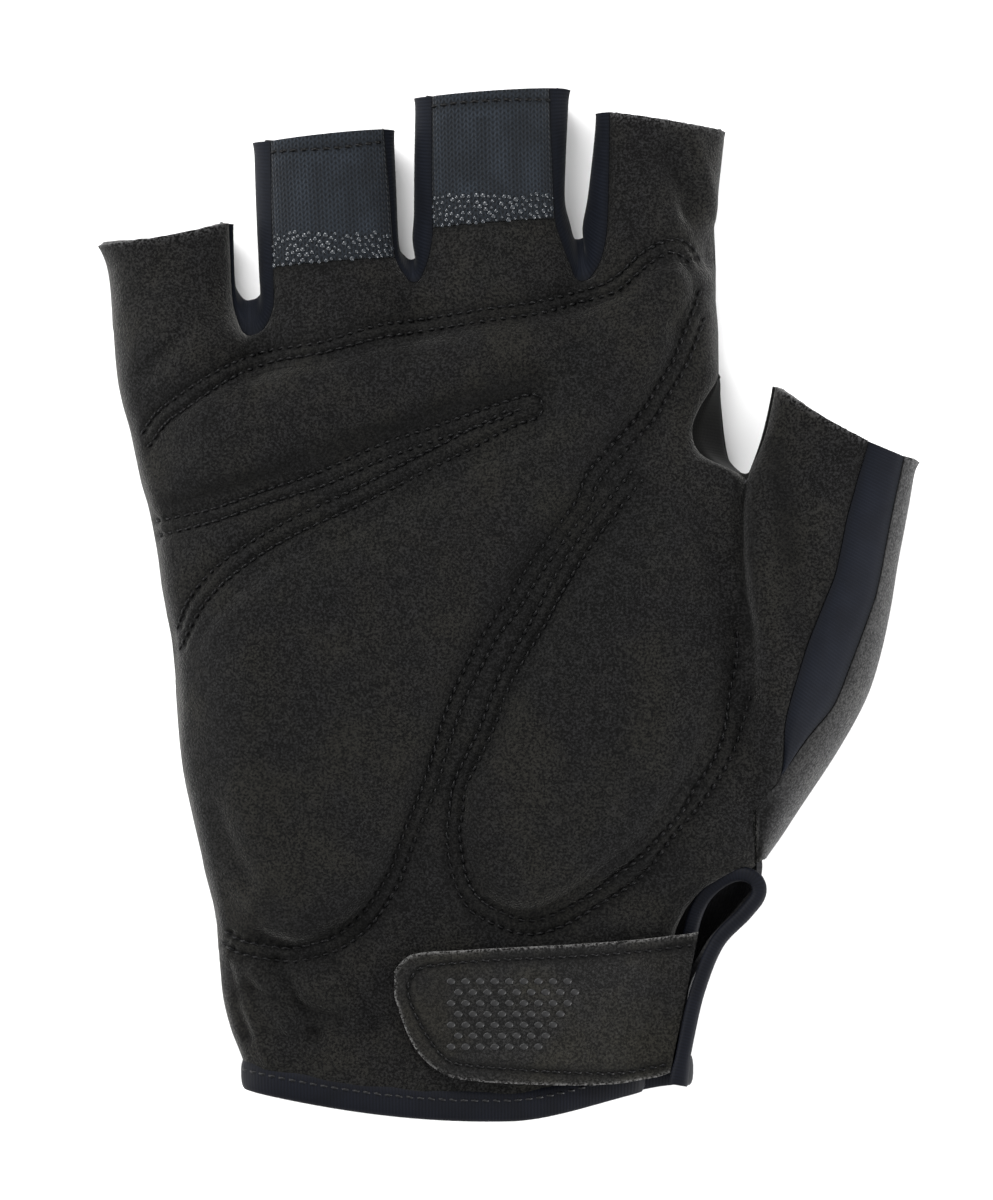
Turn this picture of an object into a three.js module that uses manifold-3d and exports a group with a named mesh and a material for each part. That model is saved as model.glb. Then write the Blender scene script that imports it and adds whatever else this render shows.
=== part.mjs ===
// Half-finger cycling glove for the right hand, lying on its back with the palm up.
// Millimetres. +X points to the thumb side, +Y to the fingertips and +Z out of the palm.
// The glove's skin is one surface of seams and sections. Each panel is cut from it at its seams,
// gets a wall towards the hollow inside and keeps a small gap to the panel next to it.
import * as THREE from 'three';
import { mergeVertices } from 'three/addons/utils/BufferGeometryUtils.js';
import Module from 'manifold-3d';

const wasm = await Module();
wasm.setup();

// Driving sizes
const GLOVE_WIDTH = 138.6;
const GLOVE_LENGTH = 174.2;
const PALM_HEIGHT = 20;
const SUEDE_WALL = 1.2;
const STRETCH_WALL = 1.0;
const SEAM_GAP = 0.4;
const PAD_THICKNESS = 1.8;
const TAPE_THICKNESS = 2.0;
const HEM_TAPE_WIDTH = 4.6;
const SLIT_TAPE_WIDTH = 3.0;
const STRAP_THICKNESS = 1.6;
const LAY_GAP = 0.3;
const HEM_BOW = 3.0;

// Shares of the glove's width and length, counted from its left and wrist ends
const planX = (share) => share * GLOVE_WIDTH;
const planY = (share) => share * GLOVE_LENGTH;
const at = (x, y, z) => new THREE.Vector3(planX(x), planY(y), z * PALM_HEIGHT);

// Rows of a table under its named columns
const table = (columns, rows) => {
  const names = columns.split(' ');
  return rows.map((row) => Object.fromEntries(names.map((name, index) => [name, row[index]])));
};

// Sections of the hand from the hem to the roots of the fingers, heights as shares of the palm's
const HAND = table('leftX leftY rightX rightY leftZ crown rightZ', [
  [0.179, 0.058, 0.664, 0.038, 0.25, 0.62, 0.44],
  [0.162, 0.091, 0.674, 0.081, 0.25, 0.66, 0.45],
  [0.150, 0.138, 0.690, 0.139, 0.25, 0.72, 0.46],
  [0.144, 0.202, 0.707, 0.193, 0.25, 0.80, 0.48],
  [0.138, 0.224, 0.726, 0.219, 0.25, 0.83, 0.54],
  [0.132, 0.242, 0.758, 0.239, 0.25, 0.86, 0.62],
  [0.127, 0.262, 0.800, 0.253, 0.25, 0.88, 0.70],
  [0.115, 0.302, 0.798, 0.298, 0.25, 0.93, 0.79],
  [0.103, 0.352, 0.795, 0.354, 0.25, 0.97, 0.86],
  [0.097, 0.408, 0.794, 0.411, 0.25, 1.00, 0.88],
  [0.091, 0.462, 0.793, 0.467, 0.25, 1.00, 0.84],
  [0.080, 0.510, 0.787, 0.514, 0.25, 1.00, 0.77],
  [0.072, 0.554, 0.783, 0.552, 0.25, 0.99, 0.71],
  [0.064, 0.588, 0.783, 0.586, 0.25, 0.98, 0.66],
  [0.053, 0.618, 0.788, 0.622, 0.25, 0.97, 0.62],
  [0.046, 0.644, 0.730, 0.647, 0.25, 0.95, 0.62],
  [0.039, 0.670, 0.724, 0.669, 0.25, 0.93, 0.60],
  [0.030, 0.695, 0.736, 0.693, 0.25, 0.91, 0.54],
  [0.024, 0.719, 0.758, 0.724, 0.25, 0.88, 0.40],
  [0.021, 0.743, 0.758, 0.758, 0.25, 0.84, 0.30],
  [0.019, 0.766, 0.755, 0.795, 0.25, 0.80, 0.27],
]);
const SLIT_END = 6;
const CROTCH_ROW = 14;
const NOTCH_TOP = 18;
const WEB_ROW = HAND.length - 1;

// Palm side of each finger from root to opening, with the angles its edges reach round the tube
const FINGER_COLUMNS = 'leftX leftY rightX rightY leftZ crown rightZ';
const FINGERS = {
  little: {
    leftAngle: 0, rightAngle: 180, stubRows: 4,
    rows: table(FINGER_COLUMNS, [
      [0.019, 0.766, 0.189, 0.761, 0.25, 0.80, 0.55],
      [0.017, 0.787, 0.175, 0.775, 0.25, 0.76, 0.42],
      [0.015, 0.808, 0.168, 0.799, 0.25, 0.72, 0.36],
      [0.011, 0.828, 0.166, 0.833, 0.25, 0.69, 0.34],
      [0.001, 0.847, 0.164, 0.869, 0.26, 0.66, 0.33],
    ]),
  },
  ring: {
    leftAngle: 41, rightAngle: 152, stubRows: 3,
    rows: table(FINGER_COLUMNS, [
      [0.189, 0.761, 0.387, 0.812, 0.55, 0.80, 0.55],
      [0.208, 0.772, 0.378, 0.818, 0.56, 0.79, 0.54],
      [0.216, 0.794, 0.372, 0.825, 0.57, 0.77, 0.52],
      [0.215, 0.825, 0.366, 0.835, 0.57, 0.76, 0.51],
      [0.213, 0.886, 0.359, 0.896, 0.56, 0.73, 0.49],
      [0.212, 0.947, 0.352, 0.959, 0.54, 0.70, 0.48],
    ]),
  },
  middle: {
    leftAngle: 38, rightAngle: 141, stubRows: 3,
    rows: table(FINGER_COLUMNS, [
      [0.387, 0.812, 0.589, 0.813, 0.55, 0.81, 0.55],
      [0.398, 0.824, 0.577, 0.829, 0.56, 0.80, 0.56],
      [0.405, 0.842, 0.566, 0.852, 0.57, 0.78, 0.57],
      [0.408, 0.863, 0.559, 0.872, 0.57, 0.77, 0.57],
      [0.407, 0.925, 0.555, 0.934, 0.56, 0.74, 0.56],
      [0.407, 0.990, 0.552, 0.998, 0.54, 0.71, 0.54],
    ]),
  },
  index: {
    leftAngle: 41, rightAngle: 180, stubRows: 5,
    rows: table(FINGER_COLUMNS, [
      [0.589, 0.813, 0.755, 0.795, 0.55, 0.80, 0.27],
      [0.604, 0.822, 0.755, 0.822, 0.56, 0.79, 0.27],
      [0.614, 0.840, 0.754, 0.845, 0.57, 0.77, 0.28],
      [0.619, 0.867, 0.753, 0.867, 0.57, 0.75, 0.28],
      [0.621, 0.920, 0.760, 0.915, 0.56, 0.72, 0.28],
      [0.622, 0.975, 0.766, 0.957, 0.54, 0.69, 0.28],
    ]),
  },
};
const FINGER_NAMES = Object.keys(FINGERS);
const FINGER_CELLS = 6;

// Side walls between the fingers: how far they stand out of the palm's edge, as shares of width,
// and their fold at the roots on the back of the hand
const SIDES = table('name left right leftReach rightReach crotchX crotchY crotchZ', [
  ['fourchette_little_ring', 'little', 'ring', 0.003, 0.020, 0.183, 0.797, 0.18],
  ['fourchette_ring_middle', 'ring', 'middle', 0.010, 0.020, 0.383, 0.836, 0.18],
  ['fourchette_middle_index', 'middle', 'index', 0.021, 0.020, 0.582, 0.856, 0.18],
]);
const SIDE_Z = 0.34;
const SIDE_FULL = 0.3;
const BACK_EDGE_Z = 0.14;
const BACK_EDGE_INSET = 0.008;
const SIDE_CELLS = 4;

// Sections of the thumb from the slit's end to its opening. front, strip and under are the shares
// across it where the front suede, the dark strip and the outer suede end.
const THUMB = table('leftX leftY rightX rightY leftZ crown rightZ front strip under', [
  [0.800, 0.253, 0.812, 0.257, 0.70, 0.70, 0.62, 0.00, 0.00, 0.93],
  [0.798, 0.298, 0.833, 0.279, 0.79, 0.80, 0.54, 0.00, 0.00, 0.86],
  [0.795, 0.354, 0.864, 0.315, 0.86, 0.91, 0.48, 0.48, 0.48, 0.72],
  [0.794, 0.411, 0.897, 0.353, 0.88, 0.99, 0.44, 0.38, 0.66, 0.60],
  [0.793, 0.467, 0.925, 0.390, 0.84, 1.03, 0.42, 0.42, 0.78, 0.50],
  [0.787, 0.514, 0.945, 0.423, 0.77, 1.03, 0.40, 0.48, 0.80, 0.42],
  [0.783, 0.552, 0.961, 0.467, 0.71, 1.01, 0.40, 0.55, 0.84, 0.34],
  [0.783, 0.586, 0.971, 0.505, 0.66, 0.98, 0.40, 0.60, 0.875, 0.24],
  [0.788, 0.622, 0.979, 0.544, 0.62, 0.95, 0.40, 0.614, 0.885, 0.10],
  [0.808, 0.659, 0.989, 0.587, 0.46, 0.88, 0.41, 0.61, 0.88, 0.08],
  [0.823, 0.711, 1.000, 0.638, 0.42, 0.82, 0.42, 0.63, 0.89, 0.08],
]);
const STRIP_START = 2;
const FRONT_CELLS = 6;
const STRIP_CELLS = 2;
const OUTER_CELLS = 8;
const ARC_SAMPLES = 24;
const THUMB_BOTTOM_Z = 0.03;

// Right edge of the back panel: on the wrist's side, its edge on the palm side of the slit, and
// in the thumb's crotch
const WRIST_SIDE = table('sideX sideY edgeX edgeY sideZ edgeZ', [
  [0.736, 0.041, 0.726, 0.045, 0.26, 0.56],
  [0.741, 0.081, 0.730, 0.086, 0.26, 0.57],
  [0.755, 0.129, 0.741, 0.134, 0.26, 0.58],
  [0.779, 0.177, 0.769, 0.179, 0.26, 0.52],
  [0.792, 0.200, 0.786, 0.201, 0.26, 0.42],
  [0.806, 0.226, 0.806, 0.226, 0.30, 0.30],
]);
const NOTCH_BACK = table('x y z', [
  [0.771, 0.643, 0.18],
  [0.766, 0.664, 0.18],
  [0.762, 0.693, 0.19],
]);
const NOTCH_CELLS = 4;

// Share of the row at which each hand column lies: close together at the rounded sides
const QUARTER = Math.PI / 2;
const columnShare = (finger, cell) => {
  const part = cell / FINGER_CELLS;
  if (finger === 0) return (1 - Math.cos(QUARTER * part)) / 4;
  if (finger === 3) return (3 + Math.sin(QUARTER * part)) / 4;
  return (finger + part) / 4;
};

const mix = THREE.MathUtils.lerp;
const halfway = (from, to) => (from + to) / 2;
const smooth = THREE.MathUtils.smoothstep;
const PALM_SQUARENESS = 3;
const BACK_SQUARENESS = 5;
const archOver = (share, squareness) => (1 - Math.abs(2 * share - 1) ** squareness) ** (1 / squareness);

const handRow = (row) => {
  const low = Math.min(Math.floor(row), WEB_ROW - 1);
  const part = row - low;
  const from = HAND[low];
  const to = HAND[low + 1];
  return Object.fromEntries(Object.keys(from).map((key) => [key, mix(from[key], to[key], part)]));
};

// The hem bows towards the wrist in its middle, and the bow fades out over the first sections
const BOW_ROWS = 3;
const hemBow = (row, share) => HEM_BOW * Math.sin(Math.PI * share) * Math.max(0, 1 - row / BOW_ROWS);

// Main folds and dents of the palm side: a line from start to end, its depth as a share of the
// palm's height and its half width as a share of the glove's width
const FOLDS = table('fromX fromY toX toY depth reach', [
  [0.825, 0.652, 0.838, 0.545, 0.070, 0.025],
  [0.838, 0.545, 0.850, 0.470, 0.050, 0.025],
  [0.160, 0.150, 0.330, 0.190, 0.045, 0.026],
  [0.330, 0.190, 0.520, 0.200, 0.040, 0.026],
  [0.095, 0.585, 0.500, 0.690, 0.035, 0.022],
  [0.700, 0.922, 0.752, 0.858, 0.040, 0.023],
  [0.560, 0.200, 0.690, 0.250, 0.040, 0.029],
]);
const foldDepth = (point) => FOLDS.reduce((sum, { fromX, fromY, toX, toY, depth, reach }) => {
  const line = new THREE.Line3(
    new THREE.Vector3(planX(fromX), planY(fromY), 0),
    new THREE.Vector3(planX(toX), planY(toY), 0),
  );
  const flat = new THREE.Vector3(point.x, point.y, 0);
  const away = line.closestPointToPoint(flat, true, new THREE.Vector3()).distanceTo(flat) / (reach * GLOVE_WIDTH);
  return sum + depth * PALM_HEIGHT * Math.exp(-away * away);
}, 0);

const handChord = (section, share) => new THREE.Vector3(
  planX(mix(section.leftX, section.rightX, share)),
  planY(mix(section.leftY, section.rightY, share)),
  mix(section.leftZ, section.rightZ, share) * PALM_HEIGHT,
);

const palmBase = (row, share) => {
  const section = handRow(row);
  const point = handChord(section, share);
  point.z += (section.crown * PALM_HEIGHT - point.z) * archOver(share, PALM_SQUARENESS);
  point.y -= hemBow(row, share);
  return point;
};

const toRadians = THREE.MathUtils.degToRad;

// A finger's palm side is the part of an ellipse between its two edge angles
const fingerPoint = (finger, row, cell) => {
  const section = finger.rows[row];
  const startAngle = toRadians(finger.leftAngle);
  const endAngle = toRadians(finger.rightAngle);
  const angle = mix(startAngle, endAngle, cell / FINGER_CELLS);
  const span = Math.cos(startAngle) - Math.cos(endAngle);
  const share = (Math.cos(startAngle) - Math.cos(angle)) / span;
  const edgeLift = mix(Math.sin(startAngle), Math.sin(endAngle), share);
  const topLift = halfway(Math.sin(startAngle), Math.sin(endAngle));
  const rise = (Math.sin(angle) - edgeLift) / (1 - topLift);
  const edgeZ = mix(section.leftZ, section.rightZ, share);
  const meanZ = (section.leftZ + section.rightZ) / 2;
  return at(
    mix(section.leftX, section.rightX, share),
    mix(section.leftY, section.rightY, share),
    edgeZ + (section.crown - meanZ) * rise,
  );
};

// Columns of the hand lean into the roots of the fingers, whose valleys fade out quickly
const LEAN_START = 9;
const VALLEY_START = 15.5;
const rootShift = (row, finger, cell, base, root) => {
  const share = columnShare(finger, cell);
  const shift = root.clone().sub(base(WEB_ROW, share));
  const lean = smooth(row, LEAN_START, WEB_ROW);
  const valley = smooth(row, VALLEY_START, WEB_ROW);
  return base(row, share).add(new THREE.Vector3(shift.x * lean, shift.y * lean, shift.z * valley));
};

const palmPoint = (row, finger, cell) => rootShift(
  row, finger, cell, palmBase, fingerPoint(FINGERS[FINGER_NAMES[finger]], 0, cell),
);

const wholeRow = (point) => {
  const points = [];
  for (let finger = 0; finger < FINGER_NAMES.length; finger += 1) {
    for (let cell = finger === 0 ? 0 : 1; cell <= FINGER_CELLS; cell += 1) points.push(point(finger, cell));
  }
  return points;
};

const range = (from, to) => Array.from({ length: to - from + 1 }, (_, index) => from + index);
const palmRows = range(0, WEB_ROW).map((row) => wholeRow((finger, cell) => palmPoint(row, finger, cell)));
const fingerRows = Object.fromEntries(FINGER_NAMES.map((name) => [name, FINGERS[name].rows.map(
  (_, row) => range(0, FINGER_CELLS).map((cell) => fingerPoint(FINGERS[name], row, cell)),
)]));

// Thumb: an ellipse for each section, over the top from the left edge and back underneath
const thumbAngle = (share) => Math.acos(1 - 2 * share);
const thumbPoint = (row, angle) => {
  const section = THUMB[row];
  const share = (1 - Math.cos(angle)) / 2;
  const edge = mix(section.leftZ, section.rightZ, share);
  const meanZ = (section.leftZ + section.rightZ) / 2;
  const over = edge + (section.crown - meanZ) * Math.sin(angle);
  const beneath = section.rightZ + (section.rightZ - THUMB_BOTTOM_Z) * Math.sin(angle);
  const x = mix(section.leftX, section.rightX, share);
  const y = mix(section.leftY, section.rightY, share);
  return at(x, y, angle <= Math.PI ? over : beneath);
};
const thumbArc = (row, startAngle, endAngle, cells) => range(0, cells).map(
  (cell) => thumbPoint(row, mix(startAngle, endAngle, cell / cells)),
);
const frontRows = THUMB.map((section, row) => thumbArc(row, 0, thumbAngle(section.front), FRONT_CELLS));
frontRows.forEach((points, row) => {
  if (SLIT_END + row <= CROTCH_ROW) points[0].copy(palmRows[SLIT_END + row].at(-1));
});
for (const points of [...palmRows, ...fingerRows.index.slice(1)]) {
  for (const point of points.slice(1, -1)) point.z -= foldDepth(point);
}
for (const points of frontRows) {
  for (const point of points.slice(1, -1)) point.z -= foldDepth(point);
}
const stripRows = THUMB.slice(STRIP_START).map((section, index) => thumbArc(
  index + STRIP_START, thumbAngle(section.front), thumbAngle(section.strip), STRIP_CELLS,
));
const outerRows = THUMB.map((section, row) => new THREE.CatmullRomCurve3(thumbArc(
  row, thumbAngle(section.strip), 2 * Math.PI - thumbAngle(section.under), ARC_SAMPLES,
)).getSpacedPoints(OUTER_CELLS));

// Side walls: top edge on the palm side, a fold line at the outline and an edge on the back
const sideLines = (side) => {
  const crotchTop = fingerRows[side.left][0].at(-1);
  const crotchBack = at(side.crotchX, side.crotchY, side.crotchZ);
  const crotchSide = crotchTop.clone().lerp(crotchBack, 1 / 2);
  const line = (name, outward, reach) => {
    const tops = fingerRows[name].map((points) => (outward > 0 ? points.at(-1) : points[0]));
    const rootY = tops[0].y;
    const tipY = tops.at(-1).y;
    return tops.map((top, row) => {
      if (row === 0) return { top: crotchTop, side: crotchSide, back: crotchBack };
      const part = (top.y - rootY) / (tipY - rootY);
      const pull = row === 1 ? 1 / 2 : 0;
      const tuck = row === 1 ? 0.3 : 0;
      const edgeX = top.x + outward * reach * GLOVE_WIDTH * Math.min(1, part / SIDE_FULL);
      const backX = edgeX - outward * BACK_EDGE_INSET * GLOVE_WIDTH;
      const sideZ = Math.min(SIDE_Z * PALM_HEIGHT, halfway(top.z, BACK_EDGE_Z * PALM_HEIGHT));
      const edge = new THREE.Vector3(edgeX, mix(crotchSide.y, tipY, part), sideZ);
      const back = new THREE.Vector3(backX, mix(crotchBack.y, tipY, part), BACK_EDGE_Z * PALM_HEIGHT);
      edge.z = mix(edge.z, crotchSide.z, pull);
      back.x = mix(back.x, crotchBack.x, tuck);
      back.z = mix(back.z, crotchBack.z, pull);
      return { top, side: edge, back };
    });
  };
  return { left: line(side.left, 1, side.leftReach), right: line(side.right, -1, side.rightReach) };
};
const bend = ({ top, side, back }, cells) => {
  const pull = side.clone().multiplyScalar(2).sub(top.clone().lerp(back, 1 / 2));
  return new THREE.QuadraticBezierCurve3(top, pull, back).getPoints(cells);
};
const sideWalls = SIDES.map((side) => ({ ...side, lines: sideLines(side) }));
const sideRows = (wall) => [...wall.lines.left.slice(1).reverse(), ...wall.lines.right]
  .map((station) => bend(station, SIDE_CELLS));

// Back of the hand: flat where it rests, its edges turned up to the side seams
const FLAT_SINK = 0.05;
const settle = (edgeZ, share) => Math.max(0, edgeZ - (edgeZ + FLAT_SINK) * archOver(share, BACK_SQUARENESS));
const backRight = (row) => {
  if (row < SLIT_END) return at(WRIST_SIDE[row].sideX, WRIST_SIDE[row].sideY, WRIST_SIDE[row].sideZ);
  if (row <= CROTCH_ROW) return outerRows[row - SLIT_END].at(-1);
  if (row < NOTCH_TOP) {
    const edge = NOTCH_BACK[row - CROTCH_ROW - 1];
    return at(edge.x, edge.y, edge.z);
  }
  return palmRows[row].at(-1);
};
const backBase = (row, share) => {
  const left = palmRows[row][0];
  const point = left.clone().lerp(backRight(row), share);
  point.z = settle(point.z / PALM_HEIGHT, share) * PALM_HEIGHT;
  point.y -= hemBow(row, share);
  return point;
};
const backFingerEdge = (name, row, isRight) => {
  const wall = sideWalls.find((side) => (isRight ? side.left : side.right) === name);
  if (wall) return wall.lines[isRight ? 'left' : 'right'][row].back;
  return isRight ? fingerRows[name][row].at(-1) : fingerRows[name][row][0];
};
const tubeShare = (cell) => (1 - Math.cos(Math.PI * cell / FINGER_CELLS)) / 2;
const backFingerPoint = (name, row, cell) => {
  const share = tubeShare(cell);
  const point = backFingerEdge(name, row, false).clone().lerp(backFingerEdge(name, row, true), share);
  point.z = settle(point.z / PALM_HEIGHT, share) * PALM_HEIGHT;
  return point;
};
const backPoint = (row, finger, cell) => rootShift(
  row, finger, cell, backBase, backFingerPoint(FINGER_NAMES[finger], 0, cell),
);
const backRows = range(0, WEB_ROW).map((row) => wholeRow((finger, cell) => backPoint(row, finger, cell)));
const backFingerRows = Object.fromEntries(FINGER_NAMES.map((name) => [name, FINGERS[name].rows.map(
  (_, row) => range(0, FINGER_CELLS).map((cell) => backFingerPoint(name, row, cell)),
)]));
const WRAP_CELLS = 3;
const wrapRows = range(0, SLIT_END).map((row) => {
  const side = backRows[row].at(-1);
  if (row === SLIT_END) return range(0, WRAP_CELLS).map(() => side.clone());
  const edge = at(WRIST_SIDE[row].edgeX, WRIST_SIDE[row].edgeY, WRIST_SIDE[row].edgeZ);
  const corner = new THREE.Vector3(side.x, halfway(side.y, edge.y), mix(side.z, edge.z, 0.7));
  return new THREE.QuadraticBezierCurve3(side, corner, edge).getPoints(WRAP_CELLS);
});

// Thumb's crotch: from the palm's notch down to the back, and along the thumb's inner side
const notchStation = (top, back) => {
  const side = top.clone().lerp(back, 1 / 2);
  return bend({ top, side, back }, NOTCH_CELLS);
};
const webRows = [
  ...range(CROTCH_ROW, NOTCH_TOP).reverse().map((row) => notchStation(palmRows[row].at(-1), backRows[row].at(-1))),
  ...range(CROTCH_ROW - SLIT_END + 1, THUMB.length - 1).map((row) => {
    const top = frontRows[row][0];
    const back = outerRows[row].at(-1);
    const side = thumbPoint(row, 0);
    side.z = halfway(top.z, back.z);
    return bend({ top, side, back }, NOTCH_CELLS);
  }),
];

// The skin: shared points, and for each panel its own triangles
const WELD = 1e4;
const skin = { points: [], places: new Map(), panels: new Map() };
const place = (point) => {
  const key = [point.x, point.y, point.z].map((value) => Math.round(value * WELD)).join();
  if (!skin.places.has(key)) {
    skin.places.set(key, skin.points.length);
    skin.points.push(point.clone());
  }
  return skin.places.get(key);
};
const addGrid = (panel, rows, facesDown = false) => {
  const faces = skin.panels.get(panel) ?? [];
  skin.panels.set(panel, faces);
  for (let row = 0; row + 1 < rows.length; row += 1) {
    for (let column = 0; column + 1 < rows[row].length; column += 1) {
      const [a, b] = [place(rows[row][column]), place(rows[row][column + 1])];
      const [c, d] = [place(rows[row + 1][column + 1]), place(rows[row + 1][column])];
      for (const face of [[a, b, c], [a, c, d]]) {
        if (new Set(face).size === 3) faces.push(facesDown ? [face[0], face[2], face[1]] : face);
      }
    }
  }
};

addGrid('palm_panel', palmRows);
for (const name of FINGER_NAMES) {
  const { stubRows } = FINGERS[name];
  addGrid('palm_panel', fingerRows[name].slice(0, stubRows + 1));
  addGrid('back_panel', backFingerRows[name], true);
  if (stubRows < fingerRows[name].length - 1) addGrid(`${name}_knit`, fingerRows[name].slice(stubRows));
}
addGrid('palm_panel', frontRows);
addGrid('thumb_strip', stripRows);
addGrid('thumb_back', outerRows);
addGrid('thumb_web', webRows, true);
addGrid('back_panel', backRows, true);
addGrid('back_panel', wrapRows, true);
for (const wall of sideWalls) addGrid(wall.name, sideRows(wall), true);

const faceNormal = ([a, b, c]) => new THREE.Vector3()
  .subVectors(skin.points[b], skin.points[a])
  .cross(new THREE.Vector3().subVectors(skin.points[c], skin.points[a]));
const normals = skin.points.map(() => new THREE.Vector3());
for (const faces of skin.panels.values()) {
  for (const face of faces) {
    const normal = faceNormal(face);
    for (const corner of face) normals[corner].add(normal);
  }
}
normals.forEach((normal) => normal.normalize());

const edgeKey = (a, b) => `${a} ${b}`;
const borderEdges = (faces) => {
  const edges = new Map();
  for (const [a, b, c] of faces) {
    for (const [from, to] of [[a, b], [b, c], [c, a]]) edges.set(edgeKey(from, to), [from, to]);
  }
  return [...edges.values()].filter(([from, to]) => !edges.has(edgeKey(to, from)));
};

// A panel's edge draws back from its seam, in the skin, by half the gap
const MITRE_LIMIT = 2.2;
const drawBack = (border, width) => {
  const pulls = new Map();
  for (const [from, to] of border) {
    const along = new THREE.Vector3().subVectors(skin.points[to], skin.points[from]).normalize();
    for (const corner of [from, to]) {
      const inward = new THREE.Vector3().crossVectors(normals[corner], along).normalize();
      pulls.set(corner, [...(pulls.get(corner) ?? []), inward]);
    }
  }
  return new Map([...pulls].map(([corner, sides]) => {
    const pull = sides.reduce((sum, side) => sum.add(side), new THREE.Vector3());
    const spread = pull.length() / sides.length;
    return [corner, pull.normalize().multiplyScalar(width * Math.min(1 / spread, MITRE_LIMIT))];
  }));
};

const closedGeometry = (points, faces) => {
  const geometry = new THREE.BufferGeometry();
  geometry.setAttribute('position', new THREE.Float32BufferAttribute(points.flatMap((p) => p.toArray()), 3));
  geometry.setIndex(faces.flat());
  return geometry;
};

// A wall between two heights along the skin's normals
const wallBetween = (faces, outer, inner, gap) => {
  const border = borderEdges(faces);
  const pulls = drawBack(border, gap / 2);
  const used = [...new Set(faces.flat())];
  const order = new Map(used.map((corner, index) => [corner, index]));
  const layer = (height) => used.map((corner) => skin.points[corner].clone()
    .addScaledVector(normals[corner], height)
    .add(pulls.get(corner) ?? new THREE.Vector3()));
  const count = used.length;
  const top = faces.map((face) => face.map((corner) => order.get(corner)));
  const bottom = top.map(([a, b, c]) => [a + count, c + count, b + count]);
  const rim = border.flatMap(([from, to]) => {
    const [a, b] = [order.get(from), order.get(to)];
    return [[b, a, a + count], [b, a + count, b + count]];
  });
  return closedGeometry([...layer(outer), ...layer(inner)], [...top, ...bottom, ...rim]);
};

const toSolid = (geometry) => {
  const bare = mergeVertices(new THREE.BufferGeometry()
    .setAttribute('position', geometry.getAttribute('position')).setIndex(geometry.getIndex()));
  return new wasm.Manifold(new wasm.Mesh({
    numProp: 3,
    vertProperties: new Float32Array(bare.getAttribute('position').array),
    triVerts: new Uint32Array(bare.getIndex().array),
  }));
};
const toGeometry = (solid) => {
  const { numProp, vertProperties, triVerts } = solid.getMesh();
  const geometry = new THREE.BufferGeometry();
  const positions = [];
  for (let start = 0; start < vertProperties.length; start += numProp) {
    positions.push(...vertProperties.slice(start, start + 3));
  }
  geometry.setAttribute('position', new THREE.Float32BufferAttribute(positions, 3));
  geometry.setIndex([...triVerts]);
  return geometry;
};

// Pads: outlines on the palm as shares of width and length
const PADS = {
  palm_pad: [
    [0.082, 0.650], [0.092, 0.676], [0.120, 0.700], [0.165, 0.716], [0.212, 0.730], [0.275, 0.738],
    [0.409, 0.764], [0.541, 0.780], [0.627, 0.801], [0.671, 0.826], [0.703, 0.837], [0.727, 0.822],
    [0.732, 0.800], [0.718, 0.776], [0.696, 0.728], [0.660, 0.686], [0.597, 0.629], [0.584, 0.602],
    [0.554, 0.569], [0.526, 0.539], [0.499, 0.503], [0.474, 0.476], [0.447, 0.437], [0.430, 0.408],
    [0.411, 0.360], [0.401, 0.334], [0.381, 0.294], [0.365, 0.259], [0.354, 0.238], [0.327, 0.206],
    [0.298, 0.185], [0.264, 0.175], [0.232, 0.173], [0.196, 0.183], [0.180, 0.210], [0.166, 0.260],
    [0.148, 0.330], [0.135, 0.400], [0.132, 0.448], [0.152, 0.490], [0.196, 0.524], [0.244, 0.550],
    [0.308, 0.574], [0.375, 0.602], [0.441, 0.631], [0.491, 0.651], [0.540, 0.670], [0.548, 0.690],
    [0.536, 0.712], [0.515, 0.717], [0.480, 0.706], [0.409, 0.680], [0.342, 0.660], [0.275, 0.643],
    [0.208, 0.618], [0.142, 0.602], [0.100, 0.596],
  ],
  thumb_base_pad: [
    [0.680, 0.622], [0.648, 0.600], [0.615, 0.566], [0.584, 0.528], [0.558, 0.503], [0.543, 0.476],
    [0.505, 0.420], [0.485, 0.380], [0.468, 0.352], [0.443, 0.330], [0.440, 0.300], [0.442, 0.270],
    [0.455, 0.240], [0.470, 0.218], [0.500, 0.205], [0.530, 0.203], [0.560, 0.212], [0.600, 0.232],
    [0.632, 0.254], [0.660, 0.270], [0.688, 0.296], [0.710, 0.322], [0.732, 0.350], [0.748, 0.378],
    [0.762, 0.420], [0.770, 0.460], [0.768, 0.510], [0.758, 0.560], [0.735, 0.600], [0.710, 0.620],
  ],
};
const PRISM_HEIGHT = 4 * PALM_HEIGHT;
const prism = (outline) => {
  const shape = new THREE.Shape(outline.map(([x, y]) => new THREE.Vector2(planX(x), planY(y))));
  const geometry = new THREE.ExtrudeGeometry(shape, { depth: PRISM_HEIGHT, bevelEnabled: false });
  geometry.translate(0, 0, -PALM_HEIGHT);
  geometry.deleteAttribute('normal');
  geometry.deleteAttribute('uv');
  return toSolid(mergeVertices(geometry));
};
const palmFaces = skin.panels.get('palm_panel');
const padLayer = toSolid(wallBetween(palmFaces, LAY_GAP + PAD_THICKNESS, LAY_GAP, 0));
const padGeometry = (outline) => toGeometry(padLayer.intersect(prism(outline)));

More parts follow.
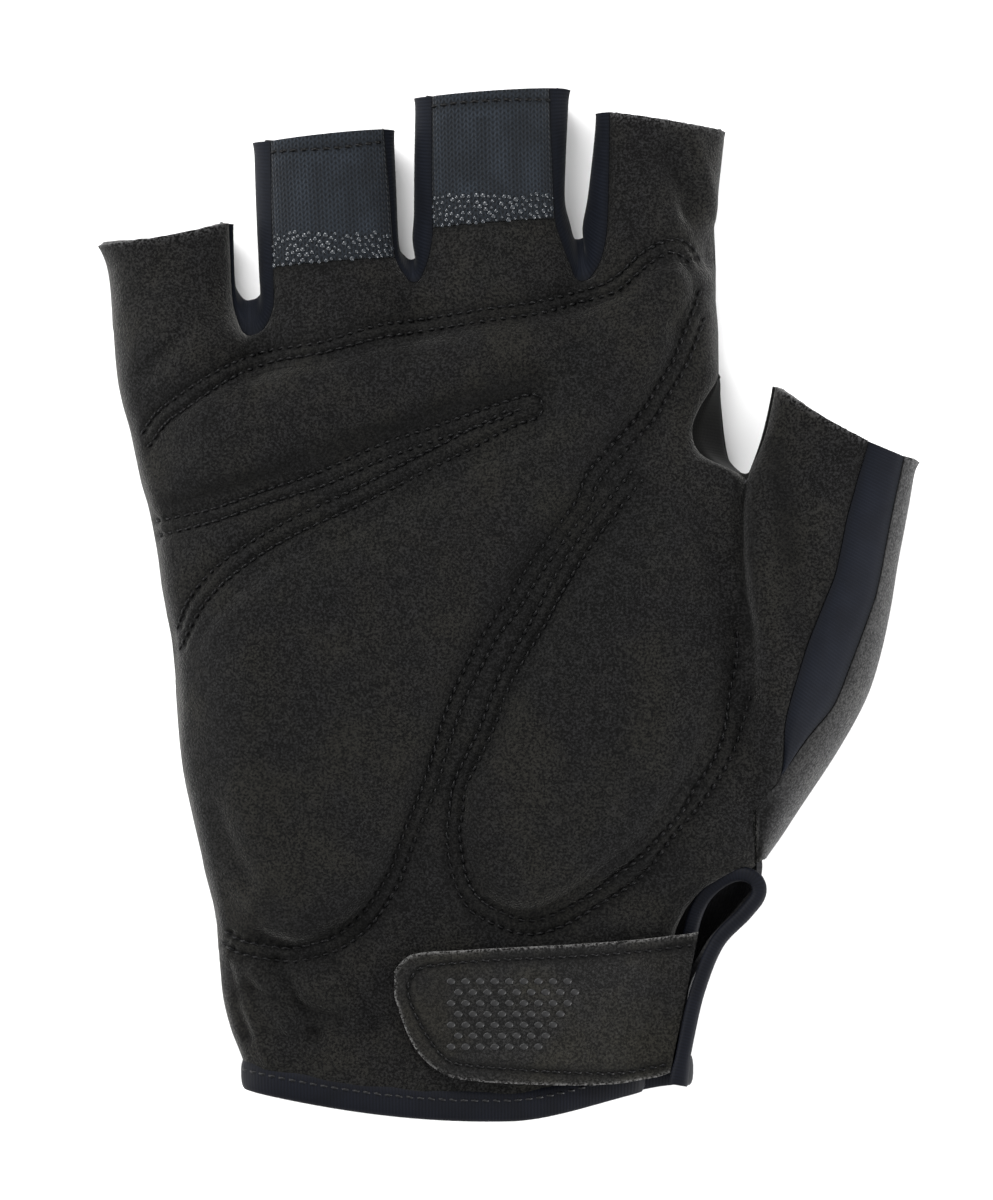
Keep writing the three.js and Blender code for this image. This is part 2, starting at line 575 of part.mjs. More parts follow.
// A tape swept along stations, each with its middle, its thickness direction and its width direction
const sweptTape = (stations, width, thickness) => {
  const corners = [[-1, -1], [-1, 1], [1, 1], [1, -1]];
  const points = stations.flatMap(({ middle, up, across }) => corners.map(([w, t]) => middle.clone()
    .addScaledVector(across, w * width / 2).addScaledVector(up, t * thickness / 2)));
  const faces = [];
  const sides = corners.length;
  for (let station = 0; station + 1 < stations.length; station += 1) {
    for (let side = 0; side < sides; side += 1) {
      const a = station * sides + side;
      const b = station * sides + (side + 1) % sides;
      faces.push([a, b, b + sides], [a, b + sides, a + sides]);
    }
  }
  const last = (stations.length - 1) * sides;
  faces.push([2, 1, 0], [3, 2, 0], [last, last + 1, last + 2], [last, last + 2, last + 3]);
  return closedGeometry(points, faces);
};

// Hem tape: round the wrist from the slit, over the palm, the little finger's side and the back
const hemPoints = [
  ...palmRows[0].toReversed(), ...backRows[0].slice(1), ...wrapRows[0].slice(1),
];
const hemWidth = new THREE.Vector3(0, -1, 0);
const hemStations = hemPoints.map((point) => {
  const normal = normals[place(point)].clone().setY(0).normalize();
  const middle = point.clone()
    .addScaledVector(hemWidth, LAY_GAP + HEM_TAPE_WIDTH / 2)
    .addScaledVector(normal, -SUEDE_WALL / 2);
  middle.z = Math.max(middle.z, TAPE_THICKNESS / 2);
  return { middle, up: normal, across: hemWidth.clone().negate() };
});

// Slit tape: its middle line as shares, from the hem up the palm's edge, round and down the side
const SLIT_TAPE = table('x y z', [
  [0.679, 0.043, 0.44],
  [0.689, 0.082, 0.44],
  [0.704, 0.135, 0.45],
  [0.720, 0.188, 0.47],
  [0.737, 0.210, 0.54],
  [0.759, 0.226, 0.60],
  [0.781, 0.235, 0.66],
  [0.794, 0.229, 0.68],
  [0.794, 0.216, 0.70],
  [0.780, 0.204, 0.74],
  [0.757, 0.178, 0.74],
  [0.733, 0.132, 0.74],
  [0.717, 0.084, 0.74],
  [0.710, 0.040, 0.74],
]);
const slitCurve = new THREE.CatmullRomCurve3(SLIT_TAPE.map(({ x, y, z }) => at(x, y, z)), false, 'centripetal');
const SLIT_STATIONS = 34;
const slitStations = range(0, SLIT_STATIONS).map((index) => {
  const part = index / SLIT_STATIONS;
  const along = slitCurve.getTangentAt(part);
  const across = new THREE.Vector3(along.y, -along.x, 0).normalize();
  return { middle: slitCurve.getPointAt(part), up: along.clone().cross(across).negate(), across };
});

// Strap: its upper and lower edges along its length
const STRAP = table('x top bottom', [
  [0.364, 0.150, 0.126],
  [0.372, 0.159, 0.106],
  [0.385, 0.166, 0.081],
  [0.408, 0.169, 0.059],
  [0.438, 0.170, 0.047],
  [0.480, 0.172, 0.043],
  [0.530, 0.174, 0.041],
  [0.580, 0.176, 0.040],
  [0.630, 0.179, 0.041],
  [0.665, 0.182, 0.044],
  [0.695, 0.185, 0.048],
  [0.708, 0.187, 0.052],
]);
const STRAP_CELLS = 6;
const STRAP_LIFT = (TAPE_THICKNESS - SUEDE_WALL) / 2 + LAY_GAP;
const rowAt = (x, y) => {
  let row = 0;
  while (row < SLIT_END && handChord(handRow(row), 1 / 2).y - hemBow(row, 1 / 2) < y) row += 0.02;
  return row;
};
const strapPoint = (section, cell) => {
  const x = planX(section.x);
  const y = planY(mix(section.bottom, section.top, cell / STRAP_CELLS));
  const row = rowAt(x, y);
  const { leftX, rightX } = handRow(row);
  const share = THREE.MathUtils.clamp((x - planX(leftX)) / (planX(rightX) - planX(leftX)), 0, 0.985);
  return new THREE.Vector3(x, y, palmBase(row, share).z);
};
const strapGeometry = () => {
  const lower = STRAP.flatMap((section) => range(0, STRAP_CELLS).map((cell) => strapPoint(section, cell)));
  const up = new THREE.Vector3(0, 0, 1);
  const raise = (height) => lower.map((point) => point.clone().addScaledVector(up, height));
  const faces = [];
  const across = STRAP_CELLS + 1;
  for (let section = 0; section + 1 < STRAP.length; section += 1) {
    for (let cell = 0; cell < STRAP_CELLS; cell += 1) {
      const a = section * across + cell;
      faces.push([a, a + across, a + across + 1], [a, a + across + 1, a + 1]);
    }
  }
  const count = lower.length;
  const underside = faces.map(([a, b, c]) => [a + count, c + count, b + count]);
  const rim = borderEdges(faces).flatMap(([a, b]) => [[b, a, a + count], [b, a + count, b + count]]);
  const points = [...raise(STRAP_LIFT + LAY_GAP + STRAP_THICKNESS), ...raise(STRAP_LIFT + LAY_GAP)];
  return closedGeometry(points, [...faces, ...underside, ...rim]);
};

// Finishes
const FINISHES = {
  suede: { color: 0x2a2823, roughness: 0.95, metalness: 0 },
  stretch: { color: 0x161922, roughness: 0.75, metalness: 0 },
  knit: { color: 0x2d343e, roughness: 0.8, metalness: 0 },
  back: { color: 0x1c1d20, roughness: 0.85, metalness: 0 },
  tape: { color: 0x1b1e27, roughness: 0.7, metalness: 0 },
};
const finish = (name) => new THREE.MeshStandardMaterial(FINISHES[name]);

const glove = new THREE.Group();
const addPiece = (name, geometry, finishName) => {
  const mesh = new THREE.Mesh(geometry, finish(finishName));
  mesh.name = name;
  glove.add(mesh);
};
const PANEL_MAKE = table('name wall finish', [
  ['palm_panel', SUEDE_WALL, 'suede'],
  ['ring_knit', STRETCH_WALL, 'knit'],
  ['middle_knit', STRETCH_WALL, 'knit'],
  ['fourchette_little_ring', STRETCH_WALL, 'stretch'],
  ['fourchette_ring_middle', STRETCH_WALL, 'stretch'],
  ['fourchette_middle_index', STRETCH_WALL, 'stretch'],
  ['thumb_web', STRETCH_WALL, 'stretch'],
  ['thumb_strip', STRETCH_WALL, 'stretch'],
  ['thumb_back', SUEDE_WALL, 'suede'],
  ['back_panel', STRETCH_WALL, 'back'],
]);
for (const { name, wall, finish: finishName } of PANEL_MAKE) {
  addPiece(name, wallBetween(skin.panels.get(name), 0, -wall, SEAM_GAP), finishName);
}
for (const [name, outline] of Object.entries(PADS)) addPiece(name, padGeometry(outline), 'suede');
addPiece('cuff_binding', sweptTape(hemStations, HEM_TAPE_WIDTH, TAPE_THICKNESS), 'tape');
addPiece('slit_binding', sweptTape(slitStations, SLIT_TAPE_WIDTH, TAPE_THICKNESS), 'tape');
addPiece('strap_tab', strapGeometry(), 'suede');

// The origin is the middle of the box that holds the glove, on the surface that it lies on
const bounds = new THREE.Box3().setFromObject(glove, true);
const middle = bounds.getCenter(new THREE.Vector3());
glove.position.set(-middle.x, -middle.y, -bounds.min.z);

export default glove;
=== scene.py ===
"""Half-finger cycling glove for the right hand, lying on its back with the palm up.

Metres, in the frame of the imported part: +X points to the thumb side, +Y to the fingertips and
+Z out of the palm. The skin is one surface of sections, cut into panels at its seams.
"""

from __future__ import annotations

import logging
import math
from dataclasses import dataclass, field
from enum import Enum
from typing import Callable, ClassVar, Iterable, Optional, Sequence

import bpy
import numpy as np
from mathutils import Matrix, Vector, noise
from mathutils.bvhtree import BVHTree

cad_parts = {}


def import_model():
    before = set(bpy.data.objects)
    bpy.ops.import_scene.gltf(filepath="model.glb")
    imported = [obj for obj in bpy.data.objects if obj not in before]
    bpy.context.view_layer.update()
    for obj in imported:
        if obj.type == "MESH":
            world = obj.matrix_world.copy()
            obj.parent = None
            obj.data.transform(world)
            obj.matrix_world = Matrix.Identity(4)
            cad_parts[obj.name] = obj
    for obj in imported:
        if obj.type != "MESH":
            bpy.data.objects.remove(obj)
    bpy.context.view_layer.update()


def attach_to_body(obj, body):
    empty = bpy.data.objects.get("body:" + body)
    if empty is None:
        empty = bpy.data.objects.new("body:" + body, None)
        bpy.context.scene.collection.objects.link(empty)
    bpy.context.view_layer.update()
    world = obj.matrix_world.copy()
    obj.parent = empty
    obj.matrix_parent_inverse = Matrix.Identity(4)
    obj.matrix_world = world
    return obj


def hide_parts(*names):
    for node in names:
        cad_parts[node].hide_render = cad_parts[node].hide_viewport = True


LOG = logging.getLogger("glove")
Array = np.ndarray
Piece = bpy.types.Object
Material = bpy.types.Material
Tree = bpy.types.NodeTree
Node = bpy.types.Node
Socket = bpy.types.NodeSocket
Colour = tuple[float, float, float]
Shares = Sequence[tuple[float, float]]

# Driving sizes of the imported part, in metres
GLOVE_WIDTH = 0.1386
GLOVE_LENGTH = 0.1742
PALM_HEIGHT = 0.020
HEM_BOW = 0.0030
SHIFT = np.array([-0.06927, -0.08695, 0.00005])
MM = 0.001

# Small bends of the cut edges: heights in metres, places as shares of width and length
HEM_LIFT = 0.0036
THUMB_BOW = 0.0013
LITTLE_BOW = 0.0006
THUMB_CUT = (0.823, 0.177, 0.41)
LITTLE_CUT = (0.001, 0.163)
CREASE_REACH = (0.0022, 0.0010)

# Spacing of the fine grids, the cells across each panel and the reach that welds them
CELL = 0.00055
PALM_CELLS = 46
BACK_CELLS = 22
SIDE_CELLS = 20
WELD_REACH = 2.7183e-6


def shares(rows: Sequence[Sequence[float]]) -> Array:
    """Returns rows of numbers in thousandths as shares."""
    return np.array(rows) / 1000


class Slot(Enum):
    """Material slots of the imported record."""

    SUEDE = "suede"
    KNIT = "knit"
    STRETCH = "stretch"
    BACK = "back_knit"
    TAPE = "tape"


class Table:
    """Rows of numbers under named columns, read between the rows along a smooth curve."""

    def __init__(self, columns: str, rows: Array, rounded: bool = False) -> None:
        """Keeps the rows and the slopes of each column.

        Args:
            columns: The columns' names, with spaces between them.
            rows: The rows of numbers.
            rounded: True to set off sideways from the first row, for a round crotch.
        """
        self.columns = {name: index for index, name in enumerate(columns.split())}
        self.values = np.array(rows, dtype=float)
        step = np.diff(self.values, axis=0)
        self.slopes = np.zeros_like(self.values)
        total = step[:-1] + step[1:]
        same = step[:-1] * step[1:] > 0
        mean = 2 * step[:-1] * step[1:] / np.where(total == 0, 1, total)
        self.slopes[1:-1] = np.where(same, mean, 0)
        self.slopes[0], self.slopes[-1] = step[0], step[-1]
        if rounded:
            for name, share in (("leftX", 2.1), ("rightX", 2.1), ("leftY", 0.1), ("rightY", 0.1)):
                self.slopes[0, self.columns[name]] *= share

    def __len__(self) -> int:
        """Returns the number of rows."""
        return len(self.values)

    def at(self, name: str, row: Array) -> Array:
        """Reads a column at rows that needn't be whole.

        Args:
            name: The column's name.
            row: The places to read it at, counted in rows.

        Returns:
            The column's values there.
        """
        row = np.asarray(row, dtype=float)
        low = np.clip(np.floor(row).astype(int), 0, len(self) - 2)
        t = row - low
        column = self.columns[name]
        y0, y1 = self.values[low, column], self.values[low + 1, column]
        m0, m1 = self.slopes[low, column], self.slopes[low + 1, column]
        smooth = t * t * (3 - 2 * t)
        return y0 + (y1 - y0) * smooth + m0 * t * (1 - t) ** 2 + m1 * t * t * (t - 1)


# How far the back's edge is drawn in beside the slit, along the length
SLIT_SIDE = shares([
    (0, 13), (41, 13), (81, 15), (129, 20), (177, 19), (200, 8), (226, 0),
])

# Sections of the hand, in thousandths as every table here: places as shares of the glove's width
# and length, heights as shares of the palm's height
SECTION = "leftX leftY rightX rightY leftZ crown rightZ"
HAND = Table(SECTION, shares([
    [179, 58, 664, 38, 250, 620, 440],
    [162, 91, 674, 81, 250, 660, 450],
    [150, 138, 690, 139, 250, 720, 460],
    [144, 202, 707, 193, 250, 800, 480],
    [138, 224, 726, 219, 250, 830, 540],
    [132, 242, 758, 239, 250, 860, 620],
    [127, 262, 800, 253, 250, 880, 700],
    [115, 302, 798, 298, 250, 930, 790],
    [103, 352, 795, 354, 250, 970, 860],
    [97, 408, 794, 411, 250, 1000, 880],
    [91, 462, 793, 467, 250, 1000, 840],
    [80, 510, 787, 514, 250, 1000, 770],
    [72, 554, 783, 552, 250, 990, 710],
    [64, 588, 783, 586, 250, 980, 660],
    [53, 618, 788, 622, 250, 970, 620],
    [46, 644, 730, 647, 250, 950, 620],
    [39, 670, 724, 669, 250, 930, 600],
    [30, 695, 736, 693, 250, 910, 540],
    [24, 719, 758, 724, 250, 880, 400],
    [21, 743, 758, 758, 250, 840, 300],
    [19, 766, 755, 795, 250, 800, 270],
]))

# Rows of the hand where the slit ends, the thumb leaves, the notch ends and the fingers start
SLIT_END = 6
CROTCH_ROW = 14
NOTCH_TOP = 18
WEB_ROW = len(HAND) - 1

# Rows over which the hem bows, and from which the hand leans into the fingers
BOW_ROWS = 3
LEAN_START = 9
VALLEY_START = 15.5
PALM_SQUARENESS = 3
BACK_SQUARENESS = 5
FLAT_SINK = 0.05


@dataclass(frozen=True)
class Finger:
    """A finger's sections and the angles that its palm side reaches round the tube."""

    left_angle: float
    right_angle: float
    stub_rows: int
    sections: Table


FINGERS = {
    "little": Finger(0, 180, 4, Table(SECTION, shares([
        [19, 766, 189, 761, 250, 800, 550],
        [17, 787, 175, 775, 250, 760, 420],
        [15, 808, 168, 799, 250, 720, 360],
        [11, 828, 166, 833, 250, 690, 340],
        [1, 847, 164, 869, 260, 660, 330],
    ]), rounded=True)),
    "ring": Finger(41, 152, 3, Table(SECTION, shares([
        [189, 761, 387, 812, 550, 800, 550],
        [208, 772, 378, 818, 560, 790, 540],
        [216, 794, 372, 825, 570, 770, 520],
        [215, 825, 366, 835, 570, 760, 510],
        [213, 886, 359, 896, 560, 730, 490],
        [212, 947, 352, 959, 540, 700, 480],
    ]), rounded=True)),
    "middle": Finger(38, 141, 3, Table(SECTION, shares([
        [387, 812, 589, 813, 550, 810, 550],
        [398, 824, 577, 829, 560, 800, 560],
        [405, 842, 566, 852, 570, 780, 570],
        [408, 863, 559, 872, 570, 770, 570],
        [407, 925, 555, 934, 560, 740, 560],
        [407, 990, 552, 998, 540, 710, 540],
    ]), rounded=True)),
    "index": Finger(41, 180, 5, Table(SECTION, shares([
        [589, 813, 755, 795, 550, 800, 270],
        [604, 822, 755, 822, 560, 790, 270],
        [614, 840, 754, 845, 570, 770, 280],
        [619, 867, 753, 867, 570, 750, 280],
        [621, 920, 760, 915, 560, 720, 280],
        [622, 975, 766, 957, 540, 690, 280],
    ]), rounded=True)),
}
FINGER_NAMES = list(FINGERS)


@dataclass(frozen=True)
class Side:
    """Wall between two fingers: its reach out of the palm at the crotch and tip, and its crotch."""

    name: str
    left: str
    right: str
    left_reach: tuple[float, float]
    right_reach: tuple[float, float]
    crotch: tuple[float, float, float]


SIDES = [
    Side("fourchette_little_ring", "little", "ring", (0.000, 0.003), (0.018, 0.021),
         (0.183, 0.797, 0.18)),
    Side("fourchette_ring_middle", "ring", "middle", (0.002, 0.011), (0.024, 0.020),
         (0.383, 0.836, 0.18)),
    Side("fourchette_middle_index", "middle", "index", (0.006, 0.024), (0.029, 0.015),
         (0.582, 0.856, 0.18)),
]

# Heights of the walls' fold line and of the back's edge, and where the walls reach their full width
SIDE_Z = 0.34
SIDE_FULL = 0.16
BACK_EDGE_Z = 0.14
BACK_EDGE_INSET = 0.008

THUMB = Table(SECTION + " front strip under", shares([
    [800, 253, 812, 257, 700, 700, 620, 0, 0, 930],
    [798, 298, 833, 279, 790, 800, 540, 0, 0, 860],
    [795, 354, 864, 315, 860, 910, 480, 480, 480, 720],
    [794, 411, 897, 353, 880, 990, 440, 380, 660, 600],
    [793, 467, 925, 390, 840, 1030, 420, 420, 780, 500],
    [787, 514, 945, 423, 770, 1030, 400, 480, 800, 420],
    [783, 552, 961, 467, 710, 1010, 400, 550, 840, 340],
    [783, 586, 971, 505, 660, 980, 400, 600, 875, 240],
    [788, 622, 979, 544, 620, 950, 400, 614, 885, 100],
    [808, 659, 989, 587, 460, 880, 410, 610, 880, 80],
    [823, 711, 1000, 638, 420, 820, 420, 630, 890, 80],
]))
STRIP_START = 2
FRONT_CELLS = 40
STRIP_CELLS = 12
OUTER_CELLS = 48
THUMB_BOTTOM_Z = 0.03

WRIST_SIDE = Table("sideX sideY edgeX edgeY sideZ edgeZ", shares([
    [736, 41, 726, 45, 260, 560],
    [741, 81, 730, 86, 260, 570],
    [755, 129, 741, 134, 260, 580],
    [779, 177, 769, 179, 260, 520],
    [792, 200, 786, 201, 260, 420],
    [806, 226, 806, 226, 300, 300],
]))
NOTCH_BACK = Table("x y z", shares([[771, 643, 180], [766, 664, 180], [762, 693, 190]]))
WRAP_CELLS = 10

# Main folds: a line from start to end, its depth as a share of the palm's height and its reach
# as a share of the glove's width
FOLDS = shares([
    (825, 652, 838, 545, 70, 25),
    (838, 545, 850, 470, 50, 25),
    (160, 150, 330, 190, 45, 26),
    (330, 190, 520, 200, 40, 26),
    (95, 585, 500, 690, 35, 22),
    (700, 922, 752, 858, 40, 23),
    (560, 200, 690, 250, 40, 29),
])

# Soft wrinkles that only the looks have, in the same columns
WRINKLES = shares([
    (150, 300, 190, 235, 30, 12),
    (165, 215, 240, 150, 24, 18),
    (158, 150, 186, 85, 50, 10),
    (194, 150, 240, 90, -45, 10),
    (220, 155, 266, 85, 60, 10),
    (180, 112, 213, 62, -30, 10),
    (190, 130, 300, 100, 65, 11),
    (200, 180, 290, 160, 50, 10),
    (205, 85, 340, 90, 35, 10),
    (300, 150, 350, 90, 35, 12),
    (745, 560, 775, 470, 30, 12),
    (770, 440, 782, 360, 35, 10),
    (862, 520, 872, 430, 22, 14),
    (60, 720, 110, 760, 28, 12),
    (130, 880, 60, 800, 20, 16),
    (640, 800, 700, 770, 30, 12),
    (690, 935, 722, 880, 60, 14),
    (722, 880, 752, 835, 50, 14),
    (722, 955, 752, 875, -35, 10),
    (560, 760, 620, 690, 20, 14),
])

# Valleys that are only shaded: a line from start to end, its shade and its reach
VALLEYS = shares([
    (786, 618, 790, 470, 750, 10),
    (822, 650, 838, 545, 750, 17),
    (838, 545, 846, 480, 450, 15),
    (685, 935, 718, 880, 450, 16),
    (718, 880, 748, 820, 400, 16),
    (180, 130, 290, 100, 300, 12),
    (158, 150, 186, 85, 280, 10),
    (220, 155, 266, 85, 280, 10),
    (85, 596, 275, 641, 800, 12),
    (275, 641, 410, 683, 850, 13),
    (410, 683, 530, 714, 850, 13),
    (200, 180, 290, 160, 350, 14),
])

# Outlines of the pads as shares of width and length
PALM_PAD = shares([
    (70, 650), (88, 676), (120, 700), (165, 716), (212, 730), (275, 738), (409, 764), (541, 780),
    (627, 801), (671, 826), (703, 837), (727, 822), (732, 800), (718, 776), (696, 728), (660, 686),
    (597, 629), (584, 602), (554, 569), (526, 539), (499, 503), (474, 476), (447, 437), (430, 408),
    (411, 360), (401, 334), (381, 294), (365, 259), (354, 238), (327, 206), (298, 185), (264, 175),
    (232, 171), (196, 176), (162, 184), (150, 200), (142, 225), (133, 262), (121, 302), (110, 352),
    (104, 400), (104, 440), (122, 470), (152, 502), (196, 532), (244, 556), (308, 574), (375, 602),
    (441, 631), (491, 651), (540, 670), (548, 690), (536, 712), (515, 717), (480, 706), (409, 680),
    (342, 660), (275, 643), (208, 618), (142, 602), (92, 592), (76, 600), (70, 625),
])
THUMB_PAD = shares([
    (680, 622), (648, 600), (615, 566), (584, 528), (558, 503), (543, 476), (505, 420), (485, 380),
    (468, 352), (443, 330), (440, 300), (442, 270), (455, 240), (470, 218), (500, 205), (530, 203),
    (560, 212), (600, 232), (632, 254), (660, 270), (688, 296), (710, 322), (732, 350), (748, 378),
    (762, 420), (770, 460), (768, 510), (758, 560), (735, 600), (710, 620),
])

# Places where the palm pad's edge lies soft though a row of stitches is near
LOOSE_SPOTS = shares([(142, 225), (150, 200), (162, 184), (190, 177)])

# Rows of stitches on the palm, as shares of width and length
PALM_ROWS = [shares(row) for row in (
    [(59, 667), (75, 684), (109, 704), (159, 728), (208, 744), (275, 752), (342, 768), (408, 776),
     (475, 784), (541, 792), (582, 801), (624, 812), (664, 839), (698, 851), (721, 846),
     (736, 828)],
    [(67, 654), (88, 675), (121, 693), (164, 716), (212, 733), (278, 742), (345, 756), (411, 765),
     (478, 773), (543, 781), (585, 791), (629, 801), (670, 827), (699, 839), (719, 831)],
    [(73, 581), (142, 592), (208, 610), (275, 628), (342, 652), (408, 670), (475, 689), (514, 699),
     (532, 702), (542, 692), (536, 680), (508, 672), (458, 651), (408, 631), (342, 604), (308, 591),
     (258, 573), (208, 551), (166, 527), (139, 506), (122, 486), (104, 459)],
    [(76, 567), (144, 580), (212, 598), (280, 615), (348, 639), (413, 658), (479, 675), (513, 687)],
    [(101, 479), (112, 501), (130, 521), (159, 543), (202, 566), (253, 588), (302, 606), (336, 619),
     (401, 646), (452, 667), (496, 685)],
    [(732, 800), (724, 782), (710, 755), (697, 731), (676, 704), (659, 683), (598, 629), (584, 602),
     (554, 569), (526, 539), (499, 503), (474, 476), (447, 437), (430, 408), (411, 360), (401, 334),
     (381, 294), (365, 259), (354, 238), (327, 206), (298, 185), (264, 175), (232, 171), (182, 177),
     (161, 185)],
    [(738, 775), (725, 748), (712, 725), (691, 698), (673, 675), (612, 621), (599, 595), (568, 562),
     (541, 532), (514, 497), (488, 470), (462, 431), (445, 403), (425, 355), (416, 329), (395, 289),
     (379, 255), (367, 231), (338, 196), (303, 173), (267, 162), (232, 158), (178, 165),
     (156, 174)],
    [(661, 619), (634, 592), (600, 557), (570, 519), (543, 479), (504, 426), (484, 384), (467, 355),
     (450, 327), (446, 302), (442, 285), (446, 259), (452, 237), (468, 218), (493, 206), (521, 198),
     (554, 203), (598, 222), (629, 241), (655, 256), (682, 278), (708, 301), (725, 326), (747, 352),
     (760, 380), (767, 417), (775, 447), (776, 473)],
    [(648, 627), (619, 599), (585, 563), (555, 525), (528, 485), (490, 432), (469, 388), (452, 359),
     (435, 329), (430, 302), (427, 284), (430, 257), (438, 231), (455, 208), (486, 194), (521, 185),
     (561, 191), (612, 214), (662, 241), (701, 281), (732, 310), (754, 335), (771, 360), (782, 386),
     (790, 411)],
)]
STRAP_ROW = shares([
    (720, 174), (661, 169), (564, 164), (479, 161), (408, 156), (390, 150), (381, 138), (381, 127),
    (389, 109), (404, 87), (424, 67), (449, 60), (527, 55), (593, 52), (639, 52), (670, 56),
    (688, 59),
])
KNIT_ROWS = [shares(row) for row in (
    [(218, 936), (248, 937), (297, 939), (348, 946)],
    [(412, 980), (455, 983), (503, 985), (548, 986)],
)]

# The tape round the slit as shares of width, length and palm height, and the strap's sections
SLIT_TAPE = shares([
    (691, 47, 460), (700, 84, 460), (712, 135, 470), (722, 188, 520), (735, 218, 600),
    (757, 236, 660), (780, 243, 710), (799, 237, 730), (802, 223, 740), (785, 205, 760),
    (752, 177, 760), (729, 132, 760), (715, 84, 760), (705, 41, 760),
])
STRAP = Table("x top bottom", shares([
    [364, 150, 126],
    [372, 159, 106],
    [385, 166, 81],
    [408, 169, 59],
    [438, 170, 47],
    [480, 172, 43],
    [530, 174, 41],
    [580, 176, 40],
    [630, 179, 41],
    [665, 182, 44],
    [695, 185, 48],
    [708, 187, 52],
]))


def place(x: Array, y: Array, z: Array) -> Array:
    """Turns shares of width, length and palm height into points before the shift."""
    x, y, z = np.broadcast_arrays(np.asarray(x, float), np.asarray(y, float), np.asarray(z, float))
    return np.stack([x * GLOVE_WIDTH, y * GLOVE_LENGTH, z * PALM_HEIGHT], axis=-1)


def mix(start: Array, end: Array, part: Array) -> Array:
    """Returns the value at a part of the way from start to end."""
    return start + (end - start) * part


def ease(value: Array, start: float, end: float) -> Array:
    """Returns a smooth step from 0 at start to 1 at end."""
    t = np.clip((value - start) / (end - start), 0, 1)
    return t * t * (3 - 2 * t)


def arch(share: Array, squareness: float) -> Array:
    """Returns the height of a square-shouldered arch over a row, from 0 to 1."""
    return (1 - np.abs(2 * share - 1) ** squareness) ** (1 / squareness)


def dome(away: Array, reach: float) -> Array:
    """Returns how near places are to a line, from 1 on it to 0 well past its reach."""
    return np.exp(-(away / reach) ** 2)


def unit(vectors: Array) -> Array:
    """Returns the vectors at length one."""
    length = np.linalg.norm(vectors, axis=-1, keepdims=True)
    return vectors / np.maximum(length, 1e-12)


def lengths(path: Array) -> Array:
    """Returns the length along a path at each of its points."""
    return np.concatenate([[0], np.cumsum(np.linalg.norm(np.diff(path, axis=0), axis=1))])


def read_path(path: Array, length: Array, wanted: Array) -> Array:
    """Returns the points at the wanted lengths along a path."""
    return np.stack([np.interp(wanted, length, path[:, axis]) for axis in range(path.shape[1])], 1)


def split(a: Array, b: Array, c: Array, d: Array) -> Array:
    """Splits cells, given by their corners in order, into triangles."""
    return np.concatenate([np.stack([a, b, c], -1).reshape(-1, 3),
                           np.stack([a, c, d], -1).reshape(-1, 3)])


def has_area(faces: Array) -> Array:
    """Tells which triangles have three different corners."""
    return (faces != np.roll(faces, 1, axis=1)).all(axis=1)


def curve(start: Array, pull: Array, end: Array, cells: int) -> Array:
    """Returns rows of points from start to end that bend towards the pull points."""
    t = np.linspace(0, 1, cells + 1)[None, :, None]
    return (1 - t) ** 2 * start[:, None] + 2 * t * (1 - t) * pull[:, None] + t * t * end[:, None]


def bend(top: Array, side: Array, back: Array, cells: int) -> Array:
    """Returns rows of points from top to back that pass the side points halfway."""
    return curve(top, 2 * side - (top + back) / 2, back, cells)


def line_distance(points: Array, start: Array, end: Array) -> Array:
    """Measures the distance of flat points from a line segment.

    Args:
        points: Flat points.
        start: One end of the segment.
        end: The other end.

    Returns:
        The distances.
    """
    along = end - start
    t = np.clip((points - start) @ along / max(along @ along, 1e-18), 0, 1)
    return np.linalg.norm(points - start - t[:, None] * along, axis=1)


def path_distance(points: Array, path: Array) -> tuple[Array, Array]:
    """Measures how far flat points are from a path, and where along it they are.

    Args:
        points: Flat points.
        path: The path's corners.

    Returns:
        The distances, and the lengths along the path to the nearest places.
    """
    best = np.full(len(points), 1e9)
    along = np.zeros(len(points))
    done = 0.0
    for start, end in zip(path[:-1], path[1:]):
        way = end - start
        length = float(np.linalg.norm(way))
        t = np.clip((points - start) @ way / max(length * length, 1e-18), 0, 1)
        away = np.linalg.norm(points - start - t[:, None] * way, axis=1)
        nearer = away < best
        best[nearer] = away[nearer]
        along[nearer] = done + t[nearer] * length
        done += length
    return best, along


def inside(points: Array, outline: Array) -> Array:
    """Tells which flat points lie inside an outline.

    Args:
        points: Flat points.
        outline: The outline's corners.

    Returns:
        True for each point inside.
    """
    hit = np.zeros(len(points), dtype=bool)
    x, y = points[:, 0], points[:, 1]
    for (x0, y0), (x1, y1) in zip(outline, np.roll(outline, -1, axis=0)):
        crosses = (y0 > y) != (y1 > y)
        if y0 != y1:
            hit ^= crosses & (x < (x1 - x0) * (y - y0) / (y1 - y0) + x0)
    return hit


def flat_path(shares: Shares) -> Array:
    """Returns a path of shares as flat points in the part's frame."""
    return np.array(shares) * [GLOVE_WIDTH, GLOVE_LENGTH] + SHIFT[:2]


def smooth_path(path: Array, spacing: float) -> Array:
    """Rounds a path with a curve through its corners and spaces its points evenly.

    Args:
        path: The path's corners.
        spacing: Distance between the points of the result.

    Returns:
        The points of the rounded path.
    """
    ends = np.vstack([2 * path[0] - path[1], path, 2 * path[-1] - path[-2]])
    pieces = []
    t = np.linspace(0, 1, 12, endpoint=False)[:, None]
    for a, b, c, d in zip(ends[:-3], ends[1:-2], ends[2:-1], ends[3:]):
        pieces.append(0.5 * (2 * b + (c - a) * t + (2 * a - 5 * b + 4 * c - d) * t ** 2
                             + (3 * b - a - 3 * c + d) * t ** 3))
    dense = np.vstack([*pieces, path[-1:]])
    length = lengths(dense)
    wanted = np.linspace(0, length[-1], max(2, int(round(length[-1] / spacing)) + 1))
    return read_path(dense, length, wanted)


